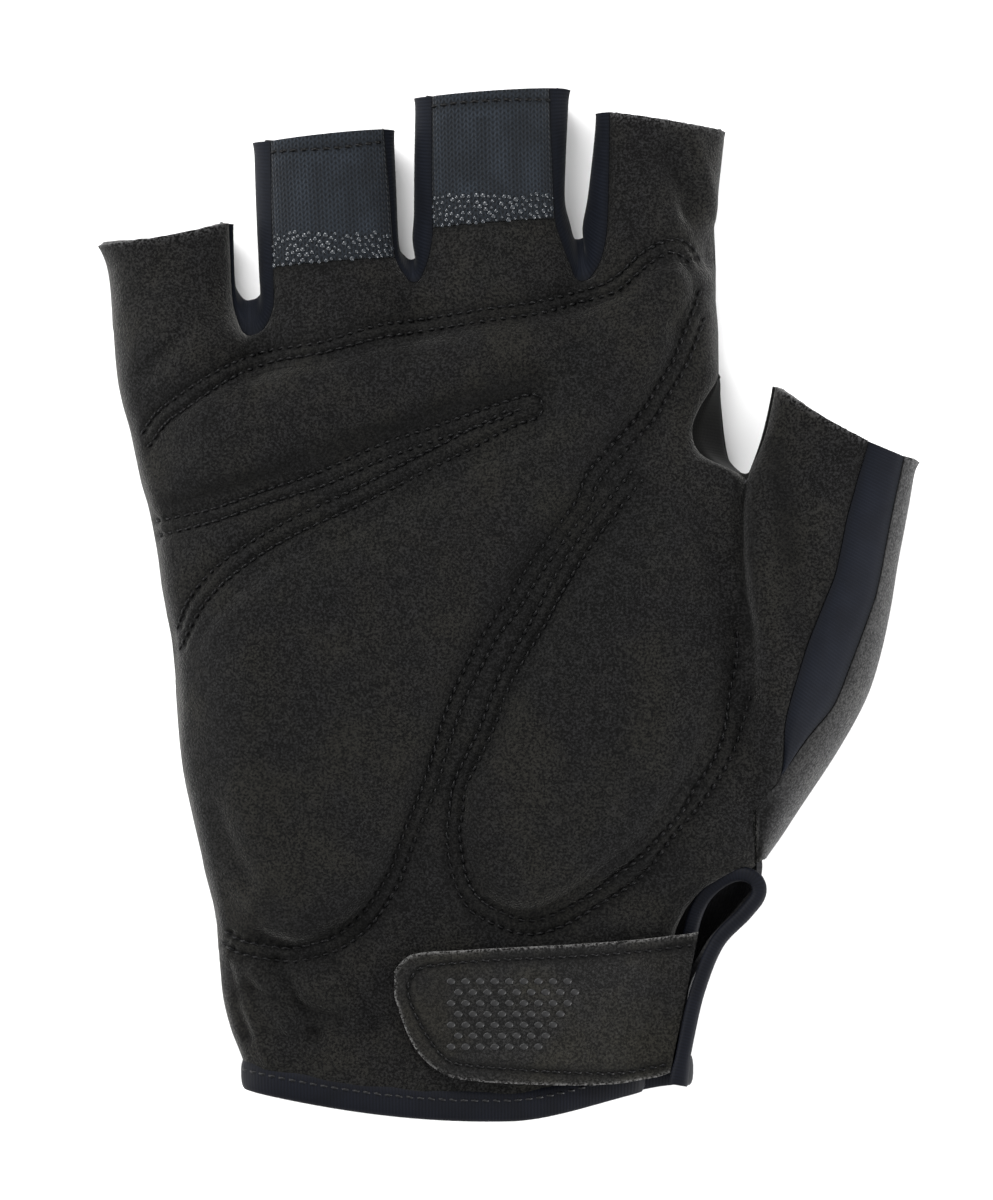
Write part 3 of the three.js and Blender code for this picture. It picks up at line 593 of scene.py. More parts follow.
def even_rows(points: Array, cells: int) -> Array:
    """Spaces the points of each row evenly along it.

    Args:
        points: Rows of points.
        cells: Number of cells in each row of the result.

    Returns:
        Rows with evenly spaced points.
    """
    result = []
    for row in points:
        length = lengths(row)
        result.append(read_path(row, length, np.linspace(0, length[-1], cells + 1)))
    result = np.array(result)
    result[:, 0], result[:, -1] = points[:, 0], points[:, -1]
    return result


def fine_rows(sections: Table, first: int, last: int) -> Array:
    """Counts rows between whole sections so that they lie about a cell apart.

    Args:
        sections: The table of sections.
        first: The first section.
        last: The last section.

    Returns:
        Row numbers with an even count of steps between whole ones.
    """
    rows = [np.array([float(first)])]
    for row in range(first, last):
        steps = []
        for x, y in (("leftX", "leftY"), ("rightX", "rightY")):
            dx = (sections.at(x, row + 1) - sections.at(x, row)) * GLOVE_WIDTH
            dy = (sections.at(y, row + 1) - sections.at(y, row)) * GLOVE_LENGTH
            steps.append(math.hypot(dx, dy))
        count = 2 * max(1, math.ceil(sum(steps) / 2 / (2 * CELL)))
        rows.append(row + np.arange(1, count + 1) / count)
    return np.concatenate(rows)


def column_shares(cells: int) -> tuple[Array, Array, Array]:
    """Spreads the hand's columns over the fingers, close together at the rounded sides.

    Args:
        cells: Number of cells to a finger.

    Returns:
        For each column its finger, its part of that finger and its share of the row.
    """
    finger = np.repeat(np.arange(4), cells)
    part = np.tile(np.arange(cells) / cells, 4)
    finger, part = np.append(finger, 3), np.append(part, 1.0)
    share = (finger + part) / 4
    share = np.where(finger == 0, (1 - np.cos(np.pi / 2 * part)) / 4, share)
    share = np.where(finger == 3, (3 + np.sin(np.pi / 2 * part)) / 4, share)
    return finger, part, share


def fold_depth(flat: Array, folds: Sequence[tuple[float, ...]]) -> Array:
    """Sums the depth of folds at flat points.

    Args:
        flat: Flat points before the shift.
        folds: Lines with their depth and reach, as shares.

    Returns:
        The depth at each point.
    """
    scale = np.array([GLOVE_WIDTH, GLOVE_LENGTH])
    total = np.zeros(len(flat))
    for from_x, from_y, to_x, to_y, depth, reach in folds:
        start, end = np.array([from_x, from_y]) * scale, np.array([to_x, to_y]) * scale
        away = line_distance(flat, start, end)
        total += depth * PALM_HEIGHT * dome(away, reach * GLOVE_WIDTH)
    return total


def warp(points: Array, panel: str) -> Array:
    """Bows the cut edges of the little finger and thumb and lifts the hem beside the slit.

    Args:
        points: Points before the shift.
        panel: The panel that the points belong to.

    Returns:
        The moved points.
    """
    x, y = points[..., 0] / GLOVE_WIDTH, points[..., 1] / GLOVE_LENGTH
    moved = points.copy()
    lift = ease(x, 0.50, 0.70) * (1 - ease(y, 0.03, 0.17))
    moved[..., 1] += HEM_LIFT * lift
    if panel == "back_panel":
        inward = np.interp(y, *np.array(SLIT_SIDE).T) * ease(x, 0.66, 0.73)
        moved[..., 0] -= inward * GLOVE_WIDTH
    start, span, slope = THUMB_CUT
    along = np.clip((x - start) / span, 0, 1)
    near = ease(y + slope * (x - start), 0.64, 0.71) * (x > 0.8)
    moved[..., 1] -= THUMB_BOW * np.sin(np.pi * along) * near
    start, span = LITTLE_CUT
    along = np.clip((x - start) / span, 0, 1)
    moved[..., 1] -= LITTLE_BOW * np.sin(np.pi * along) * ease(y, 0.81, 0.85) * (x < 0.17)
    return moved


@dataclass
class Grid:
    """Rows of points of one panel."""

    panel: str
    points: Array
    facing_down: bool = False


@dataclass
class Skin:
    """The glove's whole surface, from which the panels are cut."""

    hand_rows: Array = field(default_factory=lambda: fine_rows(HAND, 0, WEB_ROW))
    grids: list[Grid] = field(default_factory=list)

    def hand_chord(self, row: Array, share: Array) -> Array:
        """Returns points on the straight line from the palm's left to its right edge."""
        return place(*(mix(HAND.at(f"left{axis}", row), HAND.at(f"right{axis}", row), share)
                       for axis in "XYZ"))

    def palm_base(self, row: Array, share: Array) -> Array:
        """Returns points on the palm before it leans into the fingers.

        Args:
            row: Row numbers, in a column.
            share: Shares of the rows, in a line.

        Returns:
            A grid of points.
        """
        points = self.hand_chord(row, share)
        crown = HAND.at("crown", row) * PALM_HEIGHT
        points[..., 2] += (crown - points[..., 2]) * arch(share, PALM_SQUARENESS)
        points[..., 1] -= HEM_BOW * np.sin(np.pi * share) * np.maximum(0, 1 - row / BOW_ROWS)
        return points

    def finger_points(self, name: str, row: Array, part: Array) -> Array:
        """Returns points on the palm side of a finger's tube.

        Args:
            name: The finger.
            row: Row numbers, in a column.
            part: Parts of the row, in a line.

        Returns:
            A grid of points.
        """
        finger = FINGERS[name]
        table = finger.sections
        start, end = math.radians(finger.left_angle), math.radians(finger.right_angle)
        angle = start + (end - start) * part
        share = (math.cos(start) - np.cos(angle)) / (math.cos(start) - math.cos(end))
        edge_lift = mix(math.sin(start), math.sin(end), share)
        top_lift = (math.sin(start) + math.sin(end)) / 2
        rise = (np.sin(angle) - edge_lift) / (1 - top_lift)
        left_z, right_z = table.at("leftZ", row), table.at("rightZ", row)
        above = table.at("crown", row) - (left_z + right_z) / 2
        height = mix(left_z, right_z, share) + above * rise
        return place(
            mix(table.at("leftX", row), table.at("rightX", row), share),
            mix(table.at("leftY", row), table.at("rightY", row), share),
            height,
        )

    def lean(self, base: Callable[[Array, Array], Array], root: Callable[[str, Array], Array],
             cells: int) -> Array:
        """Leans the hand's columns into the roots of the fingers.

        Args:
            base: Makes the hand's points from rows and shares.
            root: Makes a finger's first row from its name and parts.
            cells: Number of cells to a finger.

        Returns:
            A grid over the whole hand.
        """
        finger, part, share = column_shares(cells)
        rows = self.hand_rows[:, None]
        points = base(rows, share[None, :])
        last = base(np.array([[float(WEB_ROW)]]), share[None, :])[0]
        roots = np.zeros_like(last)
        for index, name in enumerate(FINGER_NAMES):
            chosen = finger == index
            roots[chosen] = root(name, part[chosen])
        shift = (roots - last)[None]
        amount = ease(rows, LEAN_START, WEB_ROW)[..., None]
        valley = ease(rows, VALLEY_START, WEB_ROW)[..., None]
        return points + shift * np.concatenate([amount, amount, valley], axis=-1)

    def fold(self, points: Array, spread: int) -> Array:
        """Sinks a grid into the main folds, fading at its first and last columns.

        Args:
            points: A grid of points.
            spread: Number of columns over which the folds fade.

        Returns:
            The folded grid.
        """
        count = points.shape[1]
        column = np.arange(count)
        weight = np.clip(np.minimum(column, count - 1 - column) / spread, 0, 1)
        depth = fold_depth(points[..., :2].reshape(-1, 2), FOLDS).reshape(points.shape[:2])
        points[..., 2] -= depth * weight[None]
        return points

    def thumb_points(self, row: Array, angle: Array) -> Array:
        """Returns points round the thumb's tube.

        Args:
            row: Row numbers.
            angle: Angles over the top from the left edge and back underneath.

        Returns:
            A grid of points.
        """
        share = (1 - np.cos(angle)) / 2
        left_z, right_z = THUMB.at("leftZ", row), THUMB.at("rightZ", row)
        mean = (left_z + right_z) / 2
        over = mix(left_z, right_z, share) + (THUMB.at("crown", row) - mean) * np.sin(angle)
        beneath = right_z + (right_z - THUMB_BOTTOM_Z) * np.sin(angle)
        return place(
            mix(THUMB.at("leftX", row), THUMB.at("rightX", row), share),
            mix(THUMB.at("leftY", row), THUMB.at("rightY", row), share),
            np.where(angle <= np.pi, over, beneath),
        )

    def thumb_arc(self, row: Array, start: Array, end: Array, cells: int) -> Array:
        """Returns a grid round the thumb between two angles of each row."""
        part = np.linspace(0, 1, cells + 1)[None]
        return self.thumb_points(row[:, None], start[:, None] + (end - start)[:, None] * part)

    def thumb_angle(self, column: str, row: Array) -> Array:
        """Returns the angle at which a part of the thumb ends."""
        return np.arccos(1 - 2 * np.clip(THUMB.at(column, row), 0, 1))

    def side_line(self, side: Side, rows: Array, outward: int, reach: tuple[float, float],
                  tops: Array) -> tuple[Array, Array, Array]:
        """Returns the top edge, fold line and back edge of a wall along one finger.

        Args:
            side: The wall.
            rows: The finger's row numbers.
            outward: 1 on a finger's right side and -1 on its left.
            reach: How far the wall stands out at the crotch and at the tip, as shares of width.
            tops: The finger's edge.

        Returns:
            The three lines.
        """
        crotch_top = self.finger_points(side.left, np.array([0.0]), np.array([1.0]))[0]
        crotch_back = place(*side.crotch)
        crotch_side = (crotch_top + crotch_back) / 2
        part = np.clip((tops[:, 1] - tops[0, 1]) / (tops[-1, 1] - tops[0, 1]), 0, 1)
        edge = tops.copy()
        edge[:, 0] += outward * mix(*reach, part) * GLOVE_WIDTH * np.minimum(1, part / SIDE_FULL)
        edge[:, 1] = mix(crotch_side[1], tops[-1, 1], part)
        low = BACK_EDGE_Z * PALM_HEIGHT
        edge[:, 2] = np.minimum(SIDE_Z * PALM_HEIGHT, (tops[:, 2] + low) / 2)
        back = edge.copy()
        back[:, 0] -= outward * BACK_EDGE_INSET * GLOVE_WIDTH
        back[:, 1] = mix(crotch_back[1], tops[-1, 1], part)
        back[:, 2] = low
        near = np.clip(1 - rows, 0, 1) ** 2
        lift = np.clip(1 - rows / 2, 0, 1)
        tuck = np.where(rows < 1, mix(1, 0.3, np.sqrt(np.clip(rows, 0, 1))),
                        0.3 * np.clip(2 - rows, 0, 1))
        edge[:, 0] = mix(edge[:, 0], crotch_side[0], near)
        edge[:, 2] = mix(edge[:, 2], crotch_side[2], lift)
        back[:, 0] = mix(back[:, 0], crotch_back[0], tuck)
        back[:, 2] = mix(back[:, 2], crotch_back[2], lift)
        return tops, edge, back

    def settle(self, points: Array, share: Array) -> Array:
        """Lays back rows flat, with their edges turned up.

        Args:
            points: The rows, changed in place.
            share: The share of the row at each point.

        Returns:
            The laid rows.
        """
        edge = points[..., 2] / PALM_HEIGHT
        flat = edge - (edge + FLAT_SINK) * arch(share, BACK_SQUARENESS)
        points[..., 2] = np.maximum(0, flat) * PALM_HEIGHT
        return points

    def build(self) -> None:
        """Makes the grids of every panel."""
        hand = self.hand_rows
        fingers = {name: fine_rows(finger.sections, 0, len(finger.sections) - 1)
                   for name, finger in FINGERS.items()}
        first = np.array([[0.0]])
        part = np.linspace(0, 1, PALM_CELLS + 1)[None]
        palm = self.lean(
            self.palm_base, lambda name, p: self.finger_points(name, first, p[None])[0], PALM_CELLS)
        tubes = {name: self.finger_points(name, rows[:, None], part)
                 for name, rows in fingers.items()}

        upper = fine_rows(THUMB, CROTCH_ROW - SLIT_END, len(THUMB) - 1)[1:]
        lower = hand[(hand >= SLIT_END) & (hand <= CROTCH_ROW)] - SLIT_END
        thumb = np.concatenate([lower, upper])
        palm_edge = palm[(hand >= SLIT_END) & (hand <= CROTCH_ROW), -1]
        nothing = np.zeros(len(thumb))
        front_angle = self.thumb_angle("front", thumb)
        strip_angle = np.where(thumb < STRIP_START, front_angle, self.thumb_angle("strip", thumb))
        under_angle = 2 * np.pi - self.thumb_angle("under", thumb)
        front = self.thumb_arc(thumb, nothing, front_angle, FRONT_CELLS)
        outer = even_rows(self.thumb_arc(thumb, strip_angle, under_angle, 96), OUTER_CELLS)
        low_count = len(lower)
        delta = np.zeros((len(thumb), 3))
        delta[:low_count] = palm_edge - front[:low_count, 0]
        fade = np.clip(1 - (thumb[low_count:] - (CROTCH_ROW - SLIT_END)), 0, 1)
        delta[low_count:] = delta[low_count - 1] * fade[:, None]
        weight = np.clip(1 - np.arange(FRONT_CELLS + 1) / (FRONT_CELLS / 6), 0, 1)
        front = front + delta[:, None] * weight[None, :, None]
        closed = THUMB.at("front", thumb) <= 0
        front[closed] = front[closed][:, :1]
        outer[closed, 0] = front[closed, 0]
        strip_rows = thumb >= STRIP_START
        strip = self.thumb_arc(thumb[strip_rows], front_angle[strip_rows], strip_angle[strip_rows],
                               STRIP_CELLS)

        self.soften(palm, front, hand, low_count)
        self.fold(palm, PALM_CELLS // 6)
        self.fold(tubes["index"], PALM_CELLS // 6)
        self.fold(front, FRONT_CELLS // 6)

        walls = {}
        for side in SIDES:
            left = walls[side.left, "right"] = self.side_line(
                side, fingers[side.left], 1, side.left_reach, tubes[side.left][:, -1])
            right = walls[side.right, "left"] = self.side_line(
                side, fingers[side.right], -1, side.right_reach, tubes[side.right][:, 0])
            rows = np.concatenate([bend(*left, SIDE_CELLS)[:0:-1], bend(*right, SIDE_CELLS)])
            self.grids.append(Grid(side.name, rows, True))

        right_edge = self.back_edge(palm, outer, thumb)
        tube_part = np.linspace(0, 1, BACK_CELLS + 1)
        tube_share = (1 - np.cos(np.pi * tube_part)) / 2

        def back_tube(name: str, rows: slice, share: Array) -> Array:
            """Makes the back of a finger's tube.

            Args:
                name: The finger.
                rows: Which of its rows to make.
                share: Shares of the rows, in a line.

            Returns:
                A grid of points.
            """
            left = walls[name, "left"][2] if (name, "left") in walls else tubes[name][:, 0]
            right = walls[name, "right"][2] if (name, "right") in walls else tubes[name][:, -1]
            points = mix(left[rows, None], right[rows, None], share[None, :, None])
            return self.settle(points, share[None])

        def back_base(row: Array, share: Array) -> Array:
            """Makes the back of the hand before it leans into the fingers.

            Args:
                row: Row numbers, in a column.
                share: Shares of the rows, in a line.

            Returns:
                A grid of points.
            """
            index = np.searchsorted(hand, row[:, 0])
            points = mix(palm[index, 0][:, None], right_edge[index][:, None], share[..., None])
            self.settle(points, share)
            points[..., 1] -= HEM_BOW * np.sin(np.pi * share) * np.maximum(0, 1 - row / BOW_ROWS)
            return points

        def back_root(name: str, p: Array) -> Array:
            """Returns the first row of a finger's back."""
            return back_tube(name, slice(0, 1), (1 - np.cos(np.pi * p)) / 2)[0]

        back = self.lean(back_base, back_root, BACK_CELLS)

        self.grids.append(Grid("palm_panel", palm))
        for name, finger in FINGERS.items():
            rows = fingers[name]
            self.grids.append(Grid("palm_panel", tubes[name][rows <= finger.stub_rows]))
            if finger.stub_rows < len(finger.sections) - 1:
                self.grids.append(Grid(f"{name}_knit", tubes[name][rows >= finger.stub_rows]))
            self.grids.append(Grid("back_panel", back_tube(name, slice(None), tube_share), True))
        self.grids += [
            Grid("palm_panel", front), Grid("thumb_strip", strip), Grid("thumb_back", outer),
            Grid("back_panel", back, True), Grid("back_panel", self.wrap(back), True),
            Grid("thumb_web", self.web(palm, back, front, outer, thumb), True),
        ]
        for grid in self.grids:
            grid.points = warp(grid.points, grid.panel) + SHIFT

    def soften(self, palm: Array, front: Array, hand: Array, count: int) -> None:
        """Rounds the crease between the palm and the thumb's front.

        Args:
            palm: The palm's grid, changed in place.
            front: The grid of the thumb's front, changed in place.
            hand: The hand's row numbers.
            count: Number of the thumb's rows that lie beside the palm.
        """
        first = int(np.flatnonzero(hand >= SLIT_END)[0])
        columns = palm.shape[1]
        step, half = 0.25 * MM, 40
        for index in range(count):
            line = np.concatenate([palm[first + index], front[index, 1:]])
            length = lengths(line)
            even = np.arange(0, length[-1] + step, step)
            part = index / max(count - 1, 1)
            sigma = mix(CREASE_REACH[0], CREASE_REACH[1], float(ease(np.array(part), 0.3, 1.0)))
            window = np.exp(-(np.arange(-half, half + 1) * step / sigma) ** 2 / 2)
            window /= window.sum()
            seam = length[columns - 1]
            weight = np.exp(-((length - seam) / (2.2 * sigma)) ** 4)[:, None]
            weight[0] = weight[-1] = 0
            rounded = np.empty_like(line)
            for axis in range(3):
                track = np.pad(np.interp(even, length, line[:, axis]), half, mode="edge")
                rounded[:, axis] = np.interp(length, even, np.convolve(track, window, "valid"))
            line = mix(line, rounded, weight)
            palm[first + index] = line[:columns]
            front[index] = line[columns - 1:]

    def back_edge(self, palm: Array, outer: Array, thumb: Array) -> Array:
        """Returns the right edge of the back panel for each row of the hand.

        Args:
            palm: The palm's grid.
            outer: The grid of the thumb's outer side.
            thumb: The thumb's row numbers.

        Returns:
            One point for each row.
        """
        hand = self.hand_rows
        edge = np.zeros((len(hand), 3))
        corners = place(*[WRIST_SIDE.values[:, WRIST_SIDE.columns[key]]
                          for key in ("sideX", "sideY", "sideZ")])
        wrist = Table("x y z", np.vstack([corners, outer[0, -1]]))
        low = hand <= SLIT_END
        edge[low] = np.stack([wrist.at(key, hand[low]) for key in ("x", "y", "z")], 1)
        along = (hand >= SLIT_END) & (hand <= CROTCH_ROW)
        edge[along] = outer[thumb <= CROTCH_ROW - SLIT_END, -1]
        top = palm[hand == NOTCH_TOP, -1][0]
        notch = Table("x y z", np.vstack([
            outer[thumb == CROTCH_ROW - SLIT_END, -1][0], place(*NOTCH_BACK.values.T), top,
        ]))
        middle = (hand >= CROTCH_ROW) & (hand <= NOTCH_TOP)
        rows = hand[middle] - CROTCH_ROW
        edge[middle] = np.stack([notch.at(key, rows) for key in ("x", "y", "z")], 1)
        high = hand >= NOTCH_TOP
        edge[high] = palm[high, -1]
        return edge

    def wrap(self, back: Array) -> Array:
        """Makes the back panel's turn onto the palm side of the slit.

        Args:
            back: The back's grid.

        Returns:
            A grid of points.
        """
        low = self.hand_rows <= SLIT_END
        rows = np.minimum(self.hand_rows[low], len(WRIST_SIDE) - 1)
        side = back[low, -1]
        edge = place(*[WRIST_SIDE.at(key, rows) for key in ("edgeX", "edgeY", "edgeZ")])
        closed = self.hand_rows[low] >= len(WRIST_SIDE) - 1
        edge[closed] = side[closed]
        corner = (side + edge) / 2
        corner[:, 0] = side[:, 0]
        corner[:, 2] = mix(side[:, 2], edge[:, 2], 0.7)
        return curve(side, corner, edge, WRAP_CELLS)

    def web(self, palm: Array, back: Array, front: Array, outer: Array, thumb: Array) -> Array:
        """Makes the web in the thumb's crotch and along the thumb's inner side.

        Args:
            palm: The palm's grid.
            back: The back's grid.
            front: The grid of the thumb's front.
            outer: The grid of the thumb's outer side.
            thumb: The thumb's row numbers.

        Returns:
            A grid of points.
        """
        hand = self.hand_rows
        chosen = np.flatnonzero((hand >= CROTCH_ROW) & (hand <= NOTCH_TOP))[::-1]
        low = (palm[chosen, -1], (palm[chosen, -1] + back[chosen, -1]) / 2, back[chosen, -1])
        rows = thumb > CROTCH_ROW - SLIT_END
        top, under = front[rows, 0], outer[rows, -1]
        side = self.thumb_points(thumb[rows], np.zeros(rows.sum()))
        side[:, 2] = (top[:, 2] + under[:, 2]) / 2
        part = np.clip(thumb[rows] - (CROTCH_ROW - SLIT_END), 0, 1)[:, None]
        side = mix((top + under) / 2, side, part)
        return np.concatenate([bend(*low, SIDE_CELLS), bend(top, side, under, SIDE_CELLS)])


@dataclass
class Cut:
    """A panel's faces on the skin, with the place of each corner along and across the cloth."""

    faces: Array
    coarse: Array
    flow: Array


@dataclass
class Surface:
    """The welded skin: shared points, normals and the panels cut from it."""

    points: Array
    cuts: dict[str, Cut]
    normals: Array = field(default_factory=lambda: np.zeros((0, 3)))

    @classmethod
    def weld(cls, grids: Iterable[Grid]) -> "Surface":
        """Joins grids where their points meet.

        Args:
            grids: The grids of all panels.

        Returns:
            The welded surface.
        """
        grids = list(grids)
        every = np.vstack([grid.points.reshape(-1, 3) for grid in grids])
        keys = np.round(every / WELD_REACH).astype(np.int64)
        _, first, ids = np.unique(keys, axis=0, return_index=True, return_inverse=True)
        ids = ids.ravel()
        points = every[first]
        raw: dict[str, list[Array]] = {}
        coarse = np.full(len(points), -1)
        flow: dict[str, Array] = {}
        start = 0
        for grid in grids:
            rows, columns = grid.points.shape[:2]
            table = ids[start:start + rows * columns].reshape(rows, columns)
            start += rows * columns
            faces = split(table[:-1, :-1], table[:-1, 1:], table[1:, 1:], table[1:, :-1])
            faces = faces[has_area(faces)]
            raw.setdefault(grid.panel, []).append(faces[:, ::-1] if grid.facing_down else faces)
            row_pick, column_pick = (np.minimum((np.arange(size) + 1) // 2 * 2, size - 1)
                                     for size in (rows, columns))
            coarse[table.ravel()] = table[row_pick][:, column_pick].ravel()
            steps = np.linalg.norm(np.diff(grid.points, axis=1), axis=2)
            across = np.concatenate([np.zeros((rows, 1)), np.cumsum(steps, axis=1)], axis=1)
            across -= across[:, -1:] / 2
            along = lengths(grid.points[:, columns // 2])
            places = flow.setdefault(grid.panel, np.zeros((len(points), 2)))
            places[table.ravel()] = np.stack([across.ravel(), np.repeat(along, columns)], 1)
        cuts = {name: Cut(np.vstack(parts), coarse, flow[name]) for name, parts in raw.items()}
        return cls(points, cuts)

    def faces(self, leave_out: str = "") -> Array:
        """Returns the triangles of all panels, or of all but one."""
        return np.vstack([cut.faces for name, cut in self.cuts.items() if name != leave_out])

    def relax(self, rounds: int) -> None:
        """Evens the skin out between its seams and open edges, which stay where they are.

        Args:
            rounds: How often each point moves halfway to the middle of its neighbours.
        """
        size = len(self.points)
        held = np.zeros(size, dtype=bool)
        held[border_edges(self.faces()).ravel()] = True
        uses = np.zeros(size, dtype=int)
        for cut in self.cuts.values():
            uses[np.unique(cut.faces)] += 1
        held |= uses > 1
        edges = np.unique(np.sort(face_edges(self.faces()), axis=1), axis=0)
        count = np.maximum(np.bincount(edges.ravel(), minlength=size).astype(float), 1)[:, None]
        for _ in range(rounds):
            total = np.zeros_like(self.points)
            for axis in range(3):
                for one, other in ((0, 1), (1, 0)):
                    values = self.points[edges[:, other], axis]
                    total[:, axis] += np.bincount(edges[:, one], values, size)
            moved = (self.points + total / count) / 2
            self.points = np.where(held[:, None], self.points, moved)

    def measure_normals(self) -> None:
        """Measures the skin's normals from all its faces."""
        self.normals = vertex_normals(self.points, self.faces())


def vertex_normals(points: Array, faces: Array) -> Array:
    """Measures the normals of a mesh's points.

    Args:
        points: The points.
        faces: Triangles of them.

    Returns:
        One normal of length one for each point.
    """
    a, b, c = (points[faces[:, corner]] for corner in range(3))
    normal = np.cross(b - a, c - a)
    total = np.zeros_like(points)
    for axis in range(3):
        for corner in range(3):
            total[:, axis] += np.bincount(faces[:, corner], normal[:, axis], len(points))
    return unit(total)


def face_edges(faces: Array) -> Array:
    """Returns the three edges of every triangle, in its direction."""
    return np.vstack([faces[:, [0, 1]], faces[:, [1, 2]], faces[:, [2, 0]]])


def border_edges(faces: Array) -> Array:
    """Finds the edges that only one of the faces has.

    Args:
        faces: The triangles.

    Returns:
        The edges' ends, in the direction of their face.
    """
    pairs = face_edges(faces).astype(np.int64)
    size = int(faces.max()) + 1
    forward, backward = pairs @ [size, 1], pairs @ [1, size]
    return pairs[~np.isin(forward, backward)]


def shell(faces: Array, count: int) -> Array:
    """Closes a sheet with a copy that faces the other way and a rim between the two.

    Args:
        faces: The sheet's triangles.
        count: The number of the sheet's points, which the copy's points follow.

    Returns:
        The triangles of the closed shell.
    """
    start, end = border_edges(faces).T
    rim = split(end, start, start + count, end + count)
    return np.vstack([faces, faces[:, ::-1] + count, rim])


def rings_from(start: Array, faces: Array, count: int, size: int) -> Array:
    """Counts how many edges away from a set of points the others are.

    Args:
        start: The points to count from.
        faces: The triangles whose edges are walked.
        count: The number of rings to count.
        size: The number of points in all.

    Returns:
        The ring of each point, or count where it is further away.
    """
    ring = np.full(size, count)
    ring[start] = 0
    pairs = face_edges(faces)
    for step in range(1, count):
        for one, other in ((0, 1), (1, 0)):
            near = pairs[ring[pairs[:, one]] == step - 1, other]
            ring[near] = np.minimum(ring[near], step)
    return ring


def link(name: str, data: bpy.types.ID) -> Piece:
    """Makes an object of a mesh, light or camera and links it to the scene.

    Args:
        name: The object's name.
        data: The mesh, light or camera.

    Returns:
        The object.
    """
    obj = bpy.data.objects.new(name, data)
    bpy.context.scene.collection.objects.link(obj)
    return obj


def make_object(name: str, points: Array, faces: Array, flow: Optional[Array] = None,
                sharp: float = 50, marks: Optional[dict[str, Array]] = None) -> Piece:
    """Makes a mesh object from points and triangles or quads.

    Args:
        name: The object's name.
        points: The points.
        faces: Their faces, all with the same number of corners.
        flow: For each point its place on the cloth, kept as the UV map.
        sharp: The angle in degrees past which an edge stays sharp.
        marks: Named numbers for the points, such as the cloth's painted shade.

    Returns:
        The object, linked to the scene.
    """
    mesh = bpy.data.meshes.new(name)
    corners = faces.shape[1]
    mesh.vertices.add(len(points))
    mesh.vertices.foreach_set("co", np.asarray(points, dtype=np.float32).ravel())
    mesh.loops.add(faces.size)
    mesh.loops.foreach_set("vertex_index", faces.astype(np.int32).ravel())
    mesh.polygons.add(len(faces))
    mesh.polygons.foreach_set("loop_start", np.arange(0, faces.size, corners, dtype=np.int32))
    mesh.polygons.foreach_set("loop_total", np.full(len(faces), corners, dtype=np.int32))
    if flow is not None:
        layer = mesh.uv_layers.new(name="UVMap")
        layer.data.foreach_set("uv", np.asarray(flow, dtype=np.float32)[faces.ravel()].ravel())
    for key, values in (marks or {}).items():
        layer = mesh.attributes.new(key, "FLOAT", "POINT")
        layer.data.foreach_set("value", np.asarray(values, dtype=np.float32))
    mesh.update(calc_edges=True)
    mesh.validate()
    mesh.polygons.foreach_set("use_smooth", np.ones(len(mesh.polygons), dtype=bool))
    mesh.set_sharp_from_angle(angle=math.radians(sharp))
    return link(name, mesh)


